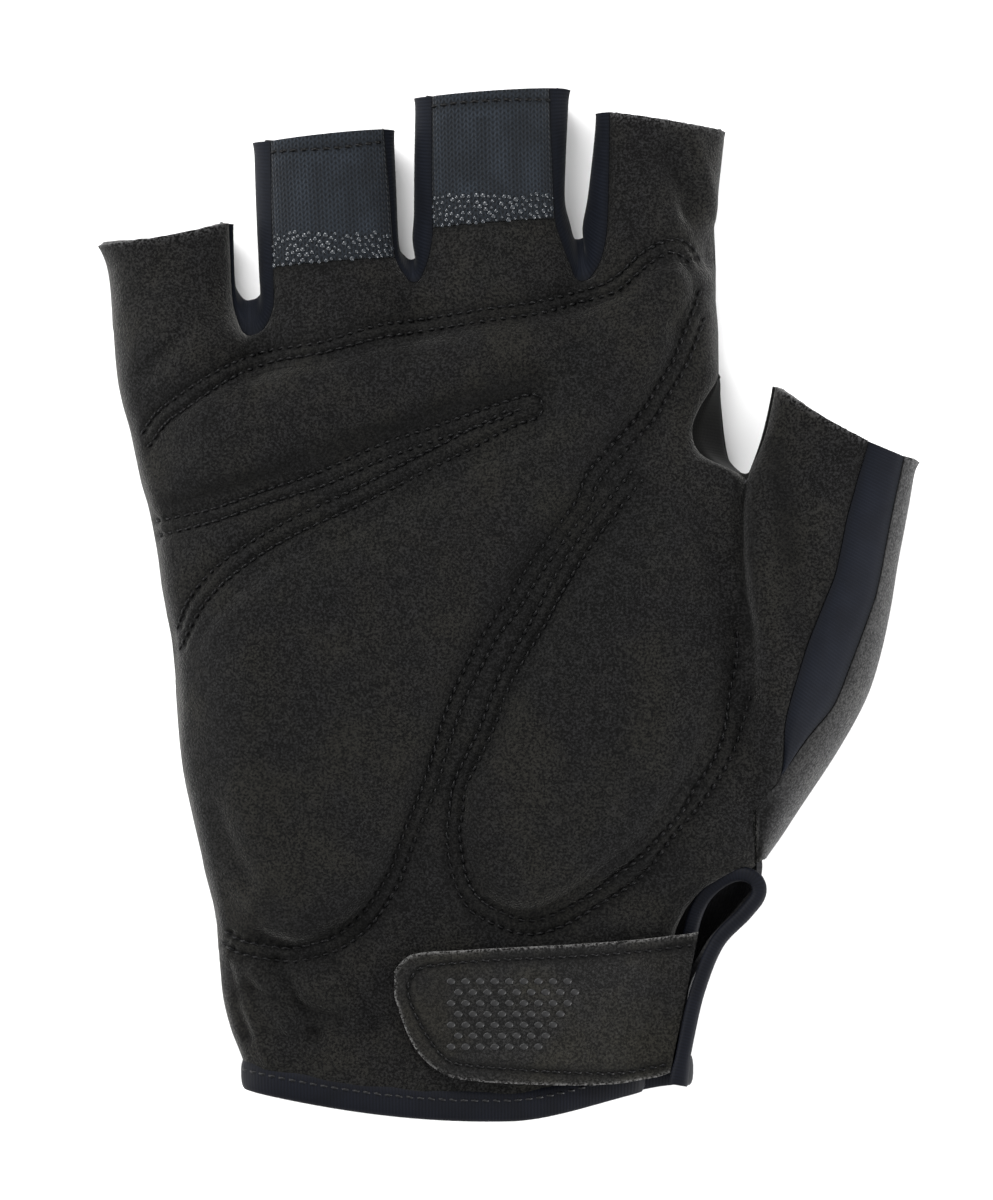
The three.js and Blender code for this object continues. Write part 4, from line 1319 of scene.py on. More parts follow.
@dataclass
class Panel:
    """A panel of cloth: a wall inwards from the skin, dipped at its seams."""

    name: str
    slot: Slot
    wall: float = 1.2 * MM
    gap: float = 0.12 * MM
    dip: float = 0.30 * MM
    reach: int = 5
    fray: float = 0.0
    # Painted light on slanted sides: its strength and the slope where it ends
    painted_light_strength: float = 0.0
    painted_light_until: float = 0.75
    fray_scale: float = 1900
    fuzz_from: float = 0.28
    # Height above which the painted light on slanted sides lies
    worn_height: float = 0.12

    def build(self, surface: Surface, heights: Optional[Array] = None,
              press: Optional[Array] = None) -> Piece:
        """Cuts the panel from the skin and gives it its wall.

        Args:
            surface: The skin.
            heights: How far each point of the skin stands out, if not at all.
            press: The painted shade at each point, if any.

        Returns:
            The panel's object.
        """
        cut = surface.cuts[self.name]
        points, normals, size = surface.points, surface.normals, len(surface.points)
        border = border_edges(cut.faces)
        shared = np.intersect1d(border.ravel(), surface.faces(self.name).ravel())
        open_edge = np.setdiff1d(border.ravel(), shared)
        ring = rings_from(shared, cut.faces, self.reach, size)
        sink = self.dip * np.exp(-(ring / (self.reach / 2.6)) ** 2) * (ring < self.reach)
        rise = -sink if heights is None else heights - sink
        pull = self.draw_back(points, normals, border)
        ragged = np.array([noise.noise(Vector(p) * self.fray_scale) for p in points[open_edge]])
        pull[open_edge] *= 1 + self.fray * ragged[:, None]
        used = np.unique(cut.faces)
        count = len(used)
        order = np.full(size, -1)
        order[used] = np.arange(count)
        top = (points + normals * rise[:, None] + pull)[used]
        depth = np.minimum(rise, 0) - self.wall
        bottom = (points + normals * depth[:, None] + pull)[used]

        # The hidden inner side keeps every second point, where all of those are the panel's own
        snap = cut.coarse if np.isin(cut.coarse[cut.faces], used).all() else np.arange(size)
        inner = snap[cut.faces][:, ::-1]
        inner = inner[has_area(inner)]
        rim = []
        for start, end in border:
            a, b = order[start], order[end]
            c, d = order[snap[start]] + count, order[snap[end]] + count
            rim.append((b, a, c))
            if c != d:
                rim.append((b, c, d))
        faces = np.vstack([order[cut.faces], order[inner] + count, np.array(rim)])
        keep, faces = np.unique(faces, return_inverse=True)
        marks = {key: np.tile(values[used], 2)[keep] for key, values in self.marks(
            surface, ring, open_edge, shared, np.zeros(size) if press is None else press).items()}
        obj = make_object(self.name, np.vstack([top, bottom])[keep], faces.reshape(-1, 3),
                          np.tile(cut.flow[used], (2, 1))[keep], marks=marks)
        LOG.info("%s: %d faces", self.name, len(obj.data.polygons))
        return obj

    def marks(self, surface: Surface, ring: Array, open_edge: Array, shared: Array,
              press: Array) -> dict[str, Array]:
        """Measures where the cloth is pressed, frayed and worn.

        Args:
            surface: The skin.
            ring: How many edges away from a seam each point is.
            open_edge: The points on the panel's cut edge.
            shared: The points on its seams.
            press: The painted shade away from the seams.

        Returns:
            The marks' values at each point of the skin.
        """
        cut, points, up = surface.cuts[self.name], surface.points, surface.normals[:, 2]
        if self.name == "palm_panel":
            web = surface.cuts["thumb_web"].faces
            open_edge = np.union1d(open_edge, np.intersect1d(shared, web))
        fuzz = np.exp(-rings_from(open_edge, cut.faces, 4, len(points)).astype(float))
        fuzz *= points[:, 1] > SHIFT[1] + self.fuzz_from * GLOVE_LENGTH
        # Painted light: sides that slant away from the top, above a height, are painted paler as if
        # lit from the side
        slant = ease(up, -0.25, 0.30) * (1 - ease(up, 0.30, self.painted_light_until))
        worn = self.painted_light_strength * slant * (points[:, 2] > self.worn_height * PALM_HEIGHT)
        # The painted shade from the relief, and a darker band near each seam
        shade_and_seam_dark = np.maximum(press, 0.8 * np.exp(-(ring / 1.6) ** 2))
        return {"press": shade_and_seam_dark, "fuzz": fuzz, "worn": worn}

    def draw_back(self, points: Array, normals: Array, border: Array) -> Array:
        """Draws the panel's edge back from its seam by half the gap.

        Args:
            points: The skin's points.
            normals: Their normals.
            border: The panel's border edges.

        Returns:
            The shift of each point.
        """
        along = unit(points[border[:, 1]] - points[border[:, 0]])
        pull = np.zeros_like(points)
        for corner in (0, 1):
            inward = unit(np.cross(normals[border[:, corner]], along))
            for axis in range(3):
                pull[:, axis] += np.bincount(border[:, corner], inward[:, axis], len(points))
        return unit(pull) * (self.gap / 2)


def pad_path(outline: Shares) -> Array:
    """Returns a pad's outline as a closed path of fine steps."""
    corners = flat_path(outline)
    return smooth_path(np.vstack([corners, corners[:1]]), 1.0 * MM)


@dataclass
class Relief:
    """Low relief of the palm: rows of stitches sunk in, wrinkles and an uneven hand."""

    row_depth: float = 0.30 * MM
    row_reach: float = 0.62 * MM
    band_depth: float = 0.45 * MM
    band_reach: float = 2.6 * MM
    pitch: float = 1.8 * MM
    pucker: float = 0.40 * MM
    unevenness: float = 0.30 * MM
    wave: float = 95.0
    knit_band: float = 5.5 * MM
    dot_band: float = 5.6 * MM
    fade_rings: int = 6
    shade: Array = field(default_factory=lambda: np.zeros(0))

    def stitch_press(self, flat: Array) -> tuple[Array, Array]:
        """Measures how the rows of stitches press the suede.

        Args:
            flat: Flat points.

        Returns:
            The depth of the press, and the shade it gives.
        """
        press, shade = np.zeros(len(flat)), np.zeros(len(flat))
        for row in PALM_ROWS:
            away, along = path_distance(flat, smooth_path(flat_path(row), 1.0 * MM))
            beat = 0.5 + 0.5 * np.cos(2 * np.pi * along / self.pitch)
            band = dome(away, self.band_reach)
            here = (self.row_depth + self.pucker * beat) * dome(away, self.row_reach)
            press = np.maximum(press, here + self.band_depth * band)
            near = (0.20 + 0.45 * beat) * dome(away, 0.7 * MM)
            shade = np.maximum(shade, near + 0.34 * band)
        return press, shade

    def uneven(self, points: Array) -> Array:
        """Returns the slow rise and fall of well-used cloth at points."""
        waves = [noise.fractal(Vector(p) * self.wave, 1.0, 2.0, 3) for p in points]
        return np.array(waves) * self.unevenness

    def heights(self, surface: Surface) -> Array:
        """Measures the palm's relief on the whole skin, and how dark it and the knit are shaded.

        Args:
            surface: The skin.

        Returns:
            The height of each point, zero off the palm panel.
        """
        size = len(surface.points)
        palm = np.unique(surface.cuts["palm_panel"].faces)
        points = surface.points[palm]
        upward = surface.normals[palm, 2] > 0.15
        flat = points[:, :2]
        press, shade = self.stitch_press(flat)
        value = self.uneven(points)
        value -= fold_depth(flat - SHIFT[:2], WRINKLES) * upward
        value -= press * upward
        heights = np.zeros(size)
        heights[palm] = value
        for from_x, from_y, to_x, to_y, dark, reach in VALLEYS:
            start, end = flat_path([(from_x, from_y), (to_x, to_y)])
            away = line_distance(flat, start, end)
            shade = np.maximum(shade, dark * dome(away, reach * GLOVE_WIDTH))
        self.shade = np.zeros(size)
        self.shade[palm] = shade * upward
        for name, row in zip(("ring_knit", "middle_knit"), KNIT_ROWS):
            knit = np.unique(surface.cuts[name].faces)
            self.shade[knit] = self.knit_shade(surface.points[knit, :2], row)
        ring = rings_from(np.intersect1d(palm, surface.faces("palm_panel")),
                          surface.cuts["palm_panel"].faces, self.fade_rings, size)
        return heights * (ring / self.fade_rings)

    def knit_shade(self, flat: Array, row: Shares) -> Array:
        """Measures how dark a knit finger is: along its hem, in bands and under its dots.

        Args:
            flat: Flat points of the knit.
            row: The row of stitches at its hem.

        Returns:
            The shade at each point.
        """
        away, _ = path_distance(flat, flat_path([row[0], row[-1]]))
        band = 0.5 + 0.5 * np.sin(flat[:, 0] * 2 * np.pi / self.knit_band)
        middle = flat[:, 1] - SHIFT[1] < (row[0][1] - 0.012) * GLOVE_LENGTH
        under_dots = 0.45 * (flat[:, 1] - flat[:, 1].min() < self.dot_band)
        return np.maximum(0.5 * dome(away, 1.3 * MM) + 0.42 * band * middle, under_dots)


@dataclass
class Pad:
    """A padded area of the palm: suede over foam, round at its stitched edge."""

    name: str
    outline: Shares
    height: float = 2.1 * MM
    setback: float = 0.35 * MM
    shoulder: float = 3.4 * MM
    soft_shoulder: float = 13.0 * MM
    crown_reach: float = 9.0 * MM
    hidden: float = 0.3 * MM
    under: float = 0.25 * MM
    loose_from: float = 3.4 * MM
    loose_spots: Shares = ()

    def soft_rise(self, flat: Array) -> Array:
        """Returns how far the pad has risen from its unstitched edges, from 0 to 1.

        Args:
            flat: Flat points.

        Returns:
            The share of the pad's height.
        """
        path = pad_path(self.outline)
        nearest = np.min([path_distance(path, flat_path(row))[0] for row in PALM_ROWS], axis=0)
        loose = nearest > self.loose_from
        gap = np.full(len(flat), 1.0)
        for start, end in zip(path[:-1][loose[:-1]], path[1:][loose[:-1]]):
            gap = np.minimum(gap, line_distance(flat, start, end))
        for spot in self.loose_spots:
            gap = np.minimum(gap, np.linalg.norm(flat - flat_path([spot]), axis=1))
        return ease(gap, 0, self.soft_shoulder)

    def build(self, surface: Surface, heights: Array, shade: Array) -> Piece:
        """Raises the pad from the palm's skin.

        Args:
            surface: The skin.
            heights: The palm's relief.
            shade: The palm's painted shade.

        Returns:
            The pad's object.
        """
        cut = surface.cuts["palm_panel"]
        points, normals, size = surface.points, surface.normals, len(surface.points)
        used = np.unique(cut.faces)
        flat, path = points[used, :2], pad_path(self.outline)
        away, _ = path_distance(flat, path)
        depth = np.full(size, -1.0)
        depth[used] = np.where(inside(flat, path[:-1]), away, -away)
        depth -= self.setback
        keep = ((depth[cut.faces] > -1.2 * MM).all(axis=1)
                & (normals[cut.faces, 2] > 0.1).all(axis=1))
        faces = cut.faces[keep]
        soft = np.zeros(size)
        soft[used] = self.soft_rise(flat)
        edge = ease(depth, -0.5 * MM, self.shoulder) * soft
        crown = ease(depth, 0, self.crown_reach) * soft
        sunk = mix(0.02 * MM, self.hidden, soft)
        rise = -sunk + (self.height * 0.52 + self.hidden) * edge + self.height * 0.48 * crown
        # Painted shade: darker at the pad's stitched foot, plus the palm's painted shade
        dark = np.maximum(0.7 * (1 - ease(depth, -0.6 * MM, 1.1 * MM)) * soft, 0.8 * shade)

        used = np.unique(faces)
        count = len(used)
        order = np.full(size, -1)
        order[used] = np.arange(count)
        base = points + normals * heights[:, None]
        top = (base + normals * rise[:, None])[used]
        bottom = (base - normals * (self.hidden + self.under))[used]
        marks = {"press": np.tile(dark[used], 2), "fuzz": np.zeros(2 * count),
                 "worn": np.zeros(2 * count)}
        obj = make_object(self.name, np.vstack([top, bottom]), shell(order[faces], count),
                          np.tile(cut.flow[used], (2, 1)), sharp=70, marks=marks)
        LOG.info("%s: %d faces", self.name, len(obj.data.polygons))
        return obj


def sweep(name: str, middle: Array, up: Array, across: Array, width: Array, thickness: Array,
          sides: int = 18, squareness: float = 3.2, sharp: float = 60) -> Piece:
    """Sweeps a rounded flat section along stations and closes both ends.

    Args:
        name: The object's name.
        middle: Middle of each station.
        up: Thickness direction of each station.
        across: Width direction of each station.
        width: Width at each station.
        thickness: Thickness at each station.
        sides: Number of points round the section.
        squareness: How square the section's shoulders are.
        sharp: The angle in degrees past which an edge stays sharp.

    Returns:
        The tape's object.
    """
    angle = np.linspace(0, 2 * np.pi, sides, endpoint=False)
    cos, sin = np.cos(angle), np.sin(angle)
    wide = np.sign(cos) * np.abs(cos) ** (2 / squareness)
    thick = np.sign(sin) * np.abs(sin) ** (2 / squareness)
    points = (middle[:, None] + across[:, None] * (wide[None] * width[:, None] / 2)[..., None]
              + up[:, None] * (thick[None] * thickness[:, None] / 2)[..., None])
    stations = len(middle)
    a = np.arange(stations - 1)[:, None] * sides + np.arange(sides)[None]
    b = np.arange(stations - 1)[:, None] * sides + (np.arange(sides) + 1) % sides
    faces = split(a, b, b + sides, a + sides)
    flat = points.reshape(-1, 3)
    ends = np.array([middle[0], middle[-1]])
    first, last = len(flat), len(flat) + 1
    ring = np.arange(sides)
    low = np.stack([np.roll(ring, -1), ring, np.full(sides, first)], 1)
    base = (stations - 1) * sides
    high = np.stack([base + ring, base + np.roll(ring, -1), np.full(sides, last)], 1)
    along = lengths(middle)
    flow = np.stack([(wide[None] * width[:, None] / 2).ravel(), np.repeat(along, sides)], 1)
    flow = np.vstack([flow, [[0, 0], [0, along[-1]]]])
    faces = np.vstack([faces, low, high])
    points = np.vstack([flat, ends])
    a, b, c = (points[faces[:, corner]] for corner in range(3))
    if np.einsum("ij,ij->i", a, np.cross(b, c)).sum() < 0:
        faces = faces[:, ::-1]
    return make_object(name, points, faces, flow, sharp)


class Nodes:
    """Adds nodes and links to a node tree."""

    def __init__(self, tree: Tree) -> None:
        """Keeps the tree."""
        self.tree = tree

    def add(self, kind: str, inputs: Optional[dict] = None, **settings: object) -> Node:
        """Adds a node, sets its properties and fills or links its inputs.

        Args:
            kind: The node's type.
            inputs: For inputs by name or number, a value or a socket to link.
            **settings: The node's properties.

        Returns:
            The node.
        """
        node = self.tree.nodes.new(kind)
        for key, value in settings.items():
            setattr(node, key, value)
        for key, value in (inputs or {}).items():
            self.fill(node.inputs[key], value)
        return node

    def fill(self, socket: Socket, value: object) -> None:
        """Links a socket to another one, or gives it a value.

        Args:
            socket: The socket to fill.
            value: A socket or a value.
        """
        if isinstance(value, Socket):
            self.tree.links.new(value, socket)
        else:
            socket.default_value = value

    def math(self, operation: str, first: object, second: object = 0.0) -> Socket:
        """Returns the result of a Math node."""
        return self.add("ShaderNodeMath", {0: first, 1: second}, operation=operation).outputs[0]

    def spread(self, value: Socket, low: float, high: float, to_low: float = 0.0,
               to_high: float = 1.0) -> Socket:
        """Spreads a range of a value over another range.

        Args:
            value: The value.
            low: The start of its range.
            high: The end of its range.
            to_low: What low becomes.
            to_high: What high becomes.

        Returns:
            The spread value.
        """
        return self.add("ShaderNodeMapRange", {
            "Value": value, "From Min": low, "From Max": high, "To Min": to_low,
            "To Max": to_high}).outputs[0]

    def cloud(self, vector: Socket, scale: object, detail: float = 2.0,
              roughness: float = 0.5) -> Socket:
        """Returns the value of a noise texture."""
        return self.add("ShaderNodeTexNoise", {"Vector": vector, "Scale": scale, "Detail": detail,
                                               "Roughness": roughness}).outputs[0]

    def blend(self, share: Socket, first: object, second: object, how: str = "MIX") -> Socket:
        """Mixes two colours, each a socket or three numbers.

        Args:
            share: The share of the second colour.
            first: The first colour.
            second: The second colour.
            how: The way to mix them.

        Returns:
            The mixed colour.
        """
        ends = [end if isinstance(end, Socket) else (*end, 1) for end in (first, second)]
        node = self.add("ShaderNodeMix", data_type="RGBA", blend_type=how)
        for index, value in ((0, share), (6, ends[0]), (7, ends[1])):
            self.fill(node.inputs[index], value)
        return node.outputs[2]

    def mark(self, name: str) -> Socket:
        """Returns the value of a mark on the mesh."""
        return self.add("ShaderNodeAttribute", attribute_name=name).outputs["Fac"]

    def dress(self, shader: Node, colour: Socket, height: Socket, bump: float, depth: float,
              **values: object) -> None:
        """Gives a shader its colour, its bump and its plain values.

        Args:
            shader: The Principled shader.
            colour: The base colour.
            height: The height that makes the bump.
            bump: The bump's strength.
            depth: The bump's distance.
            **values: Values of other inputs, with _ for a space in their names.
        """
        normal = self.add("ShaderNodeBump", {"Strength": bump, "Distance": depth, "Height": height})
        self.fill(shader.inputs["Base Color"], colour)
        self.fill(shader.inputs["Normal"], normal.outputs[0])
        for key, value in values.items():
            shader.inputs[key.replace("_", " ")].default_value = value


def new_material(name: str) -> tuple[Material, Nodes, Node]:
    """Makes a material of nodes.

    Args:
        name: The material's name.

    Returns:
        The material, its nodes and its Principled shader.
    """
    material = bpy.data.materials.new(name)
    material.use_nodes = True
    return material, Nodes(material.node_tree), material.node_tree.nodes["Principled BSDF"]


def tone(colour: Colour, share: float) -> Colour:
    """Returns a colour made lighter or darker."""
    return tuple(channel * share for channel in colour)


def shader_group(name: str, inputs: dict[str, float],
                 fill: Callable[[Nodes, Node], dict[str, Socket]], outputs: Sequence[str]) -> Tree:
    """Makes a shader node group with a Vector input, number inputs and number outputs.

    Args:
        name: The group's name.
        inputs: Names of the number inputs and their usual values.
        fill: Adds the group's nodes and returns what it puts out.
        outputs: Names of the outputs.

    Returns:
        The group.
    """
    tree = bpy.data.node_groups.new(name, "ShaderNodeTree")
    tree.interface.new_socket("Vector", in_out="INPUT", socket_type="NodeSocketVector")
    for key, value in inputs.items():
        socket = tree.interface.new_socket(key, in_out="INPUT", socket_type="NodeSocketFloat")
        socket.default_value = value
    for key in outputs:
        tree.interface.new_socket(key, in_out="OUTPUT", socket_type="NodeSocketFloat")
    nodes = Nodes(tree)
    given, result = nodes.add("NodeGroupInput"), nodes.add("NodeGroupOutput")
    for key, value in fill(nodes, given).items():
        nodes.fill(result.inputs[key], value)
    return tree


def nap_nodes(nodes: Nodes, given: Node) -> dict[str, Socket]:
    """Adds the nodes for the nap of brushed suede: fine grain, streaks, patches and lint.

    Args:
        nodes: The group's nodes.
        given: The group's input node.

    Returns:
        What the group puts out.
    """
    vector = given.outputs["Vector"]
    grain = nodes.cloud(vector, given.outputs["Grain"], 2.0, 0.6)
    squash = nodes.add("ShaderNodeMapping", {"Vector": vector, "Scale": (1.0, 0.5, 1.0)})
    streak = nodes.cloud(squash.outputs[0], given.outputs["Streak"])
    patch = nodes.cloud(vector, given.outputs["Patch"], 3.0, 0.6)
    speck = nodes.add("ShaderNodeTexVoronoi", {"Vector": vector, "Scale": given.outputs["Speck"]})
    height = nodes.math("ADD", nodes.math("MULTIPLY", grain, 0.72),
                        nodes.math("MULTIPLY", streak, 0.12))
    shade = nodes.math("ADD", height, nodes.math("MULTIPLY", patch, 0.16))
    return {"Shade": shade, "Patch": patch, "Height": height,
            "Speck": nodes.spread(speck.outputs["Distance"], 0.20, 0.06)}


def loop_nodes(nodes: Nodes, given: Node) -> dict[str, Socket]:
    """Adds the nodes for knit and ribbed cloth: rows of loops along the cloth's own map.

    Args:
        nodes: The group's nodes.
        given: The group's input node.

    Returns:
        What the group puts out.
    """
    parts = nodes.add("ShaderNodeSeparateXYZ", {0: given.outputs["Vector"]})
    turn = 2 * math.pi
    u = nodes.math("DIVIDE", parts.outputs["X"], given.outputs["Wale"])
    v = nodes.math("DIVIDE", parts.outputs["Y"], given.outputs["Course"])
    wave = nodes.math("SINE", nodes.math("MULTIPLY", u, turn))
    slant = nodes.math("MULTIPLY", wave, given.outputs["Slant"])
    course = nodes.math("SINE", nodes.math("MULTIPLY", nodes.math("ADD", v, slant), turn))
    wale = nodes.math("COSINE", nodes.math("MULTIPLY", u, turn * 2))
    rough = nodes.cloud(given.outputs["Vector"], 1800.0)
    total = nodes.math("ADD", nodes.math("MULTIPLY", course, given.outputs["Course depth"]),
                       nodes.math("MULTIPLY", wale, given.outputs["Wale depth"]))
    total = nodes.math("ADD", nodes.math("MULTIPLY", total, 0.5), 0.5)
    total = nodes.math("ADD", total, nodes.math("MULTIPLY", rough, 0.25))
    return {"Shade": total, "Height": total}


class Groups:
    """The shader groups that the finishes share, each made once."""

    made: ClassVar[dict[str, Tree]] = {}

    @classmethod
    def nap(cls) -> Tree:
        """Makes or finds the group for the nap of suede.

        Returns:
            The group.
        """
        if "nap" not in cls.made:
            cls.made["nap"] = shader_group(
                "nap_grain", {"Grain": 2500.0, "Streak": 900.0, "Patch": 75.0, "Speck": 800.0},
                nap_nodes, ["Shade", "Patch", "Speck", "Height"])
        return cls.made["nap"]

    @classmethod
    def loops(cls) -> Tree:
        """Makes or finds the group for rows of loops.

        Returns:
            The group.
        """
        if "loops" not in cls.made:
            cls.made["loops"] = shader_group(
                "loop_rows", {"Wale": 0.0009, "Course": 0.0006, "Slant": 0.25, "Course depth": 0.5,
                              "Wale depth": 0.5}, loop_nodes, ["Shade", "Height"])
        return cls.made["loops"]


@dataclass(frozen=True)
class SuedeFinish:
    """Brushed synthetic suede, pale where frayed, with painted shade and painted side light."""

    name: str
    dark: Colour
    light: Colour
    sheen: float = 0.17
    bump: float = 0.9
    warm: Colour = (1.25, 1.15, 0.72)
    painted_shade_share: float = 0.35
    lint_share: float = 3.2
    frayed_share: float = 6.5
    worn_share: float = 9.5

    def material(self) -> Material:
        """Makes the material.

        Returns:
            The material.
        """
        material, nodes, shader = new_material(self.name)
        where = nodes.add("ShaderNodeTexCoord").outputs["Object"]
        nap = nodes.add("ShaderNodeGroup", {"Vector": where}, node_tree=Groups.nap())
        shade = nap.outputs["Shade"]
        colour = nodes.blend(nodes.spread(shade, 0.435, 0.605), self.dark, self.light)
        patch = nodes.spread(nap.outputs["Patch"], 0.4, 0.62, to_high=0.45)
        colour = nodes.blend(patch, colour, self.warm, "MULTIPLY")
        lint = nodes.math("MULTIPLY", nap.outputs["Speck"], 0.18)
        colour = nodes.blend(lint, colour, tone(self.light, self.lint_share))
        # Painted shade: the press mark darkens the suede along rows of stitches, in valleys, at the
        # pads' feet and near seams
        press = nodes.math("MULTIPLY", nodes.mark("press"), 0.8)
        colour = nodes.blend(press, colour, tone(self.dark, self.painted_shade_share))
        fuzz = nodes.math("MULTIPLY", nodes.mark("fuzz"), nodes.spread(shade, 0.44, 0.58))
        colour = nodes.blend(fuzz, colour, tone(self.light, self.frayed_share))
        # Painted light: the slanted sides' mark makes the suede paler, as if lit from the side
        worn = nodes.math("MULTIPLY", nodes.mark("worn"),
                          nodes.spread(shade, 0.40, 0.66, 0.25, 0.75))
        colour = nodes.blend(worn, colour, tone(self.light, self.worn_share), "ADD")
        nodes.dress(shader, colour, nap.outputs["Height"], self.bump, 0.0004, Roughness=0.92,
                    Specular_IOR_Level=0.12, Sheen_Weight=self.sheen, Sheen_Roughness=0.3,
                    Sheen_Tint=(0.80, 0.79, 0.75, 1))
        return material


@dataclass(frozen=True)
class ClothFinish:
    """Knitted, stretch or woven cloth with rows of loops or ribs along its own map."""

    name: str
    dark: Colour
    light: Colour
    wale: float
    course: float
    slant: float = 0.0
    course_depth: float = 0.5
    wale_depth: float = 0.5
    roughness: float = 0.7
    sheen: float = 0.05
    bump: float = 0.5
    specular: float = 0.2
    mottle_and_shade_share: float = 0.6

    def material(self) -> Material:
        """Makes the material.

        Returns:
            The material.
        """
        material, nodes, shader = new_material(self.name)
        loops = nodes.add("ShaderNodeGroup", {
            "Vector": nodes.add("ShaderNodeUVMap", uv_map="UVMap").outputs[0], "Wale": self.wale,
            "Course": self.course, "Slant": self.slant, "Course depth": self.course_depth,
            "Wale depth": self.wale_depth}, node_tree=Groups.loops())
        colour = nodes.blend(loops.outputs["Shade"], self.dark, self.light)
        # Darker in slow random patches, and with the painted shade of the press mark near seams and
        # on the knit
        slow = nodes.cloud(nodes.add("ShaderNodeTexCoord").outputs["Object"], 160.0)
        mottle_and_shade = nodes.math("MAXIMUM", nodes.spread(slow, 0.4, 0.65, to_high=0.45),
                          nodes.mark("press"))
        colour = nodes.blend(mottle_and_shade, colour, tone(self.dark, self.mottle_and_shade_share))
        nodes.dress(shader, colour, loops.outputs["Height"], self.bump, 0.00015,
                    Roughness=self.roughness, Specular_IOR_Level=self.specular,
                    Sheen_Weight=self.sheen, Sheen_Roughness=0.4)
        return material


@dataclass(frozen=True)
class PlainFinish:
    """Thread, rubber or floor: one colour with a fine uneven grain."""

    name: str
    colour: Colour
    roughness: float
    grain: float = 900.0
    change: float = 0.25
    specular: float = 0.5
    bump: float = 0.2

    def material(self) -> Material:
        """Makes the material.

        Returns:
            The material.
        """
        material, nodes, shader = new_material(self.name)
        grain = nodes.cloud(nodes.add("ShaderNodeTexCoord").outputs["Object"], self.grain)
        high = tuple(min(1.0, channel) for channel in tone(self.colour, 1 + self.change))
        colour = nodes.blend(grain, tone(self.colour, 1 - self.change), high)
        nodes.dress(shader, colour, grain, self.bump, 0.00008, Roughness=self.roughness,
                    Specular_IOR_Level=self.specular)
        return material


@dataclass(frozen=True)
class Finishes:
    """All finishes of the glove."""

    suede: SuedeFinish = SuedeFinish(
        "palm_suede", (0.0002, 0.0002, 0.0002), (0.0088, 0.0088, 0.0090))
    strap: SuedeFinish = SuedeFinish(
        "strap_suede", (0.0032, 0.0032, 0.0031), (0.0146, 0.0144, 0.0142))
    knit: ClothFinish = ClothFinish(
        "finger_knit", (0.0002, 0.0004, 0.0008), (0.0128, 0.0170, 0.0230), 0.0013, 0.0009,
        slant=0.35, bump=1.2, roughness=0.75, specular=0.12)
    stretch: ClothFinish = ClothFinish(
        "stretch_cloth", (0.0014, 0.0020, 0.0040), (0.0036, 0.0048, 0.0084), 0.0009, 0.00055,
        course_depth=0.8, wale_depth=0.1, roughness=0.75, bump=0.3, specular=0.08, sheen=0.03)
    web: ClothFinish = ClothFinish(
        "web_cloth", (0.0008, 0.0009, 0.0008), (0.0040, 0.0042, 0.0038), 0.0009, 0.00055,
        course_depth=0.3, wale_depth=0.2, roughness=0.8, bump=0.3, specular=0.08, sheen=0.05)
    back: ClothFinish = ClothFinish(
        "back_knit", (0.003, 0.003, 0.0035), (0.010, 0.010, 0.0115), 0.0013, 0.0009, slant=0.25,
        bump=0.7, roughness=0.75)
    tape: ClothFinish = ClothFinish(
        "ribbed_tape", (0.0005, 0.0007, 0.0016), (0.0024, 0.0031, 0.0062), 0.004, 0.00055,
        course_depth=0.6, wale_depth=0.0, roughness=0.62, bump=0.22, specular=0.09, sheen=0.0)
    thread: PlainFinish = PlainFinish(
        "black_thread", (0.0004, 0.0004, 0.0006), 0.42, grain=3000.0, specular=0.12)
    hem_thread: PlainFinish = PlainFinish(
        "hem_thread", (0.0013, 0.0015, 0.0022), 0.5, grain=3000.0, specular=0.2)
    grip: PlainFinish = PlainFinish("grip_silicone", (0.012, 0.015, 0.019), 0.22)
    rubber: PlainFinish = PlainFinish(
        "printed_rubber", (0.0075, 0.0075, 0.0078), 0.5, specular=0.25)
    floor: PlainFinish = PlainFinish(
        "studio_floor", (0.985, 0.985, 0.985), 0.8, grain=60.0, change=0.01, specular=0.1,
        bump=0.0)


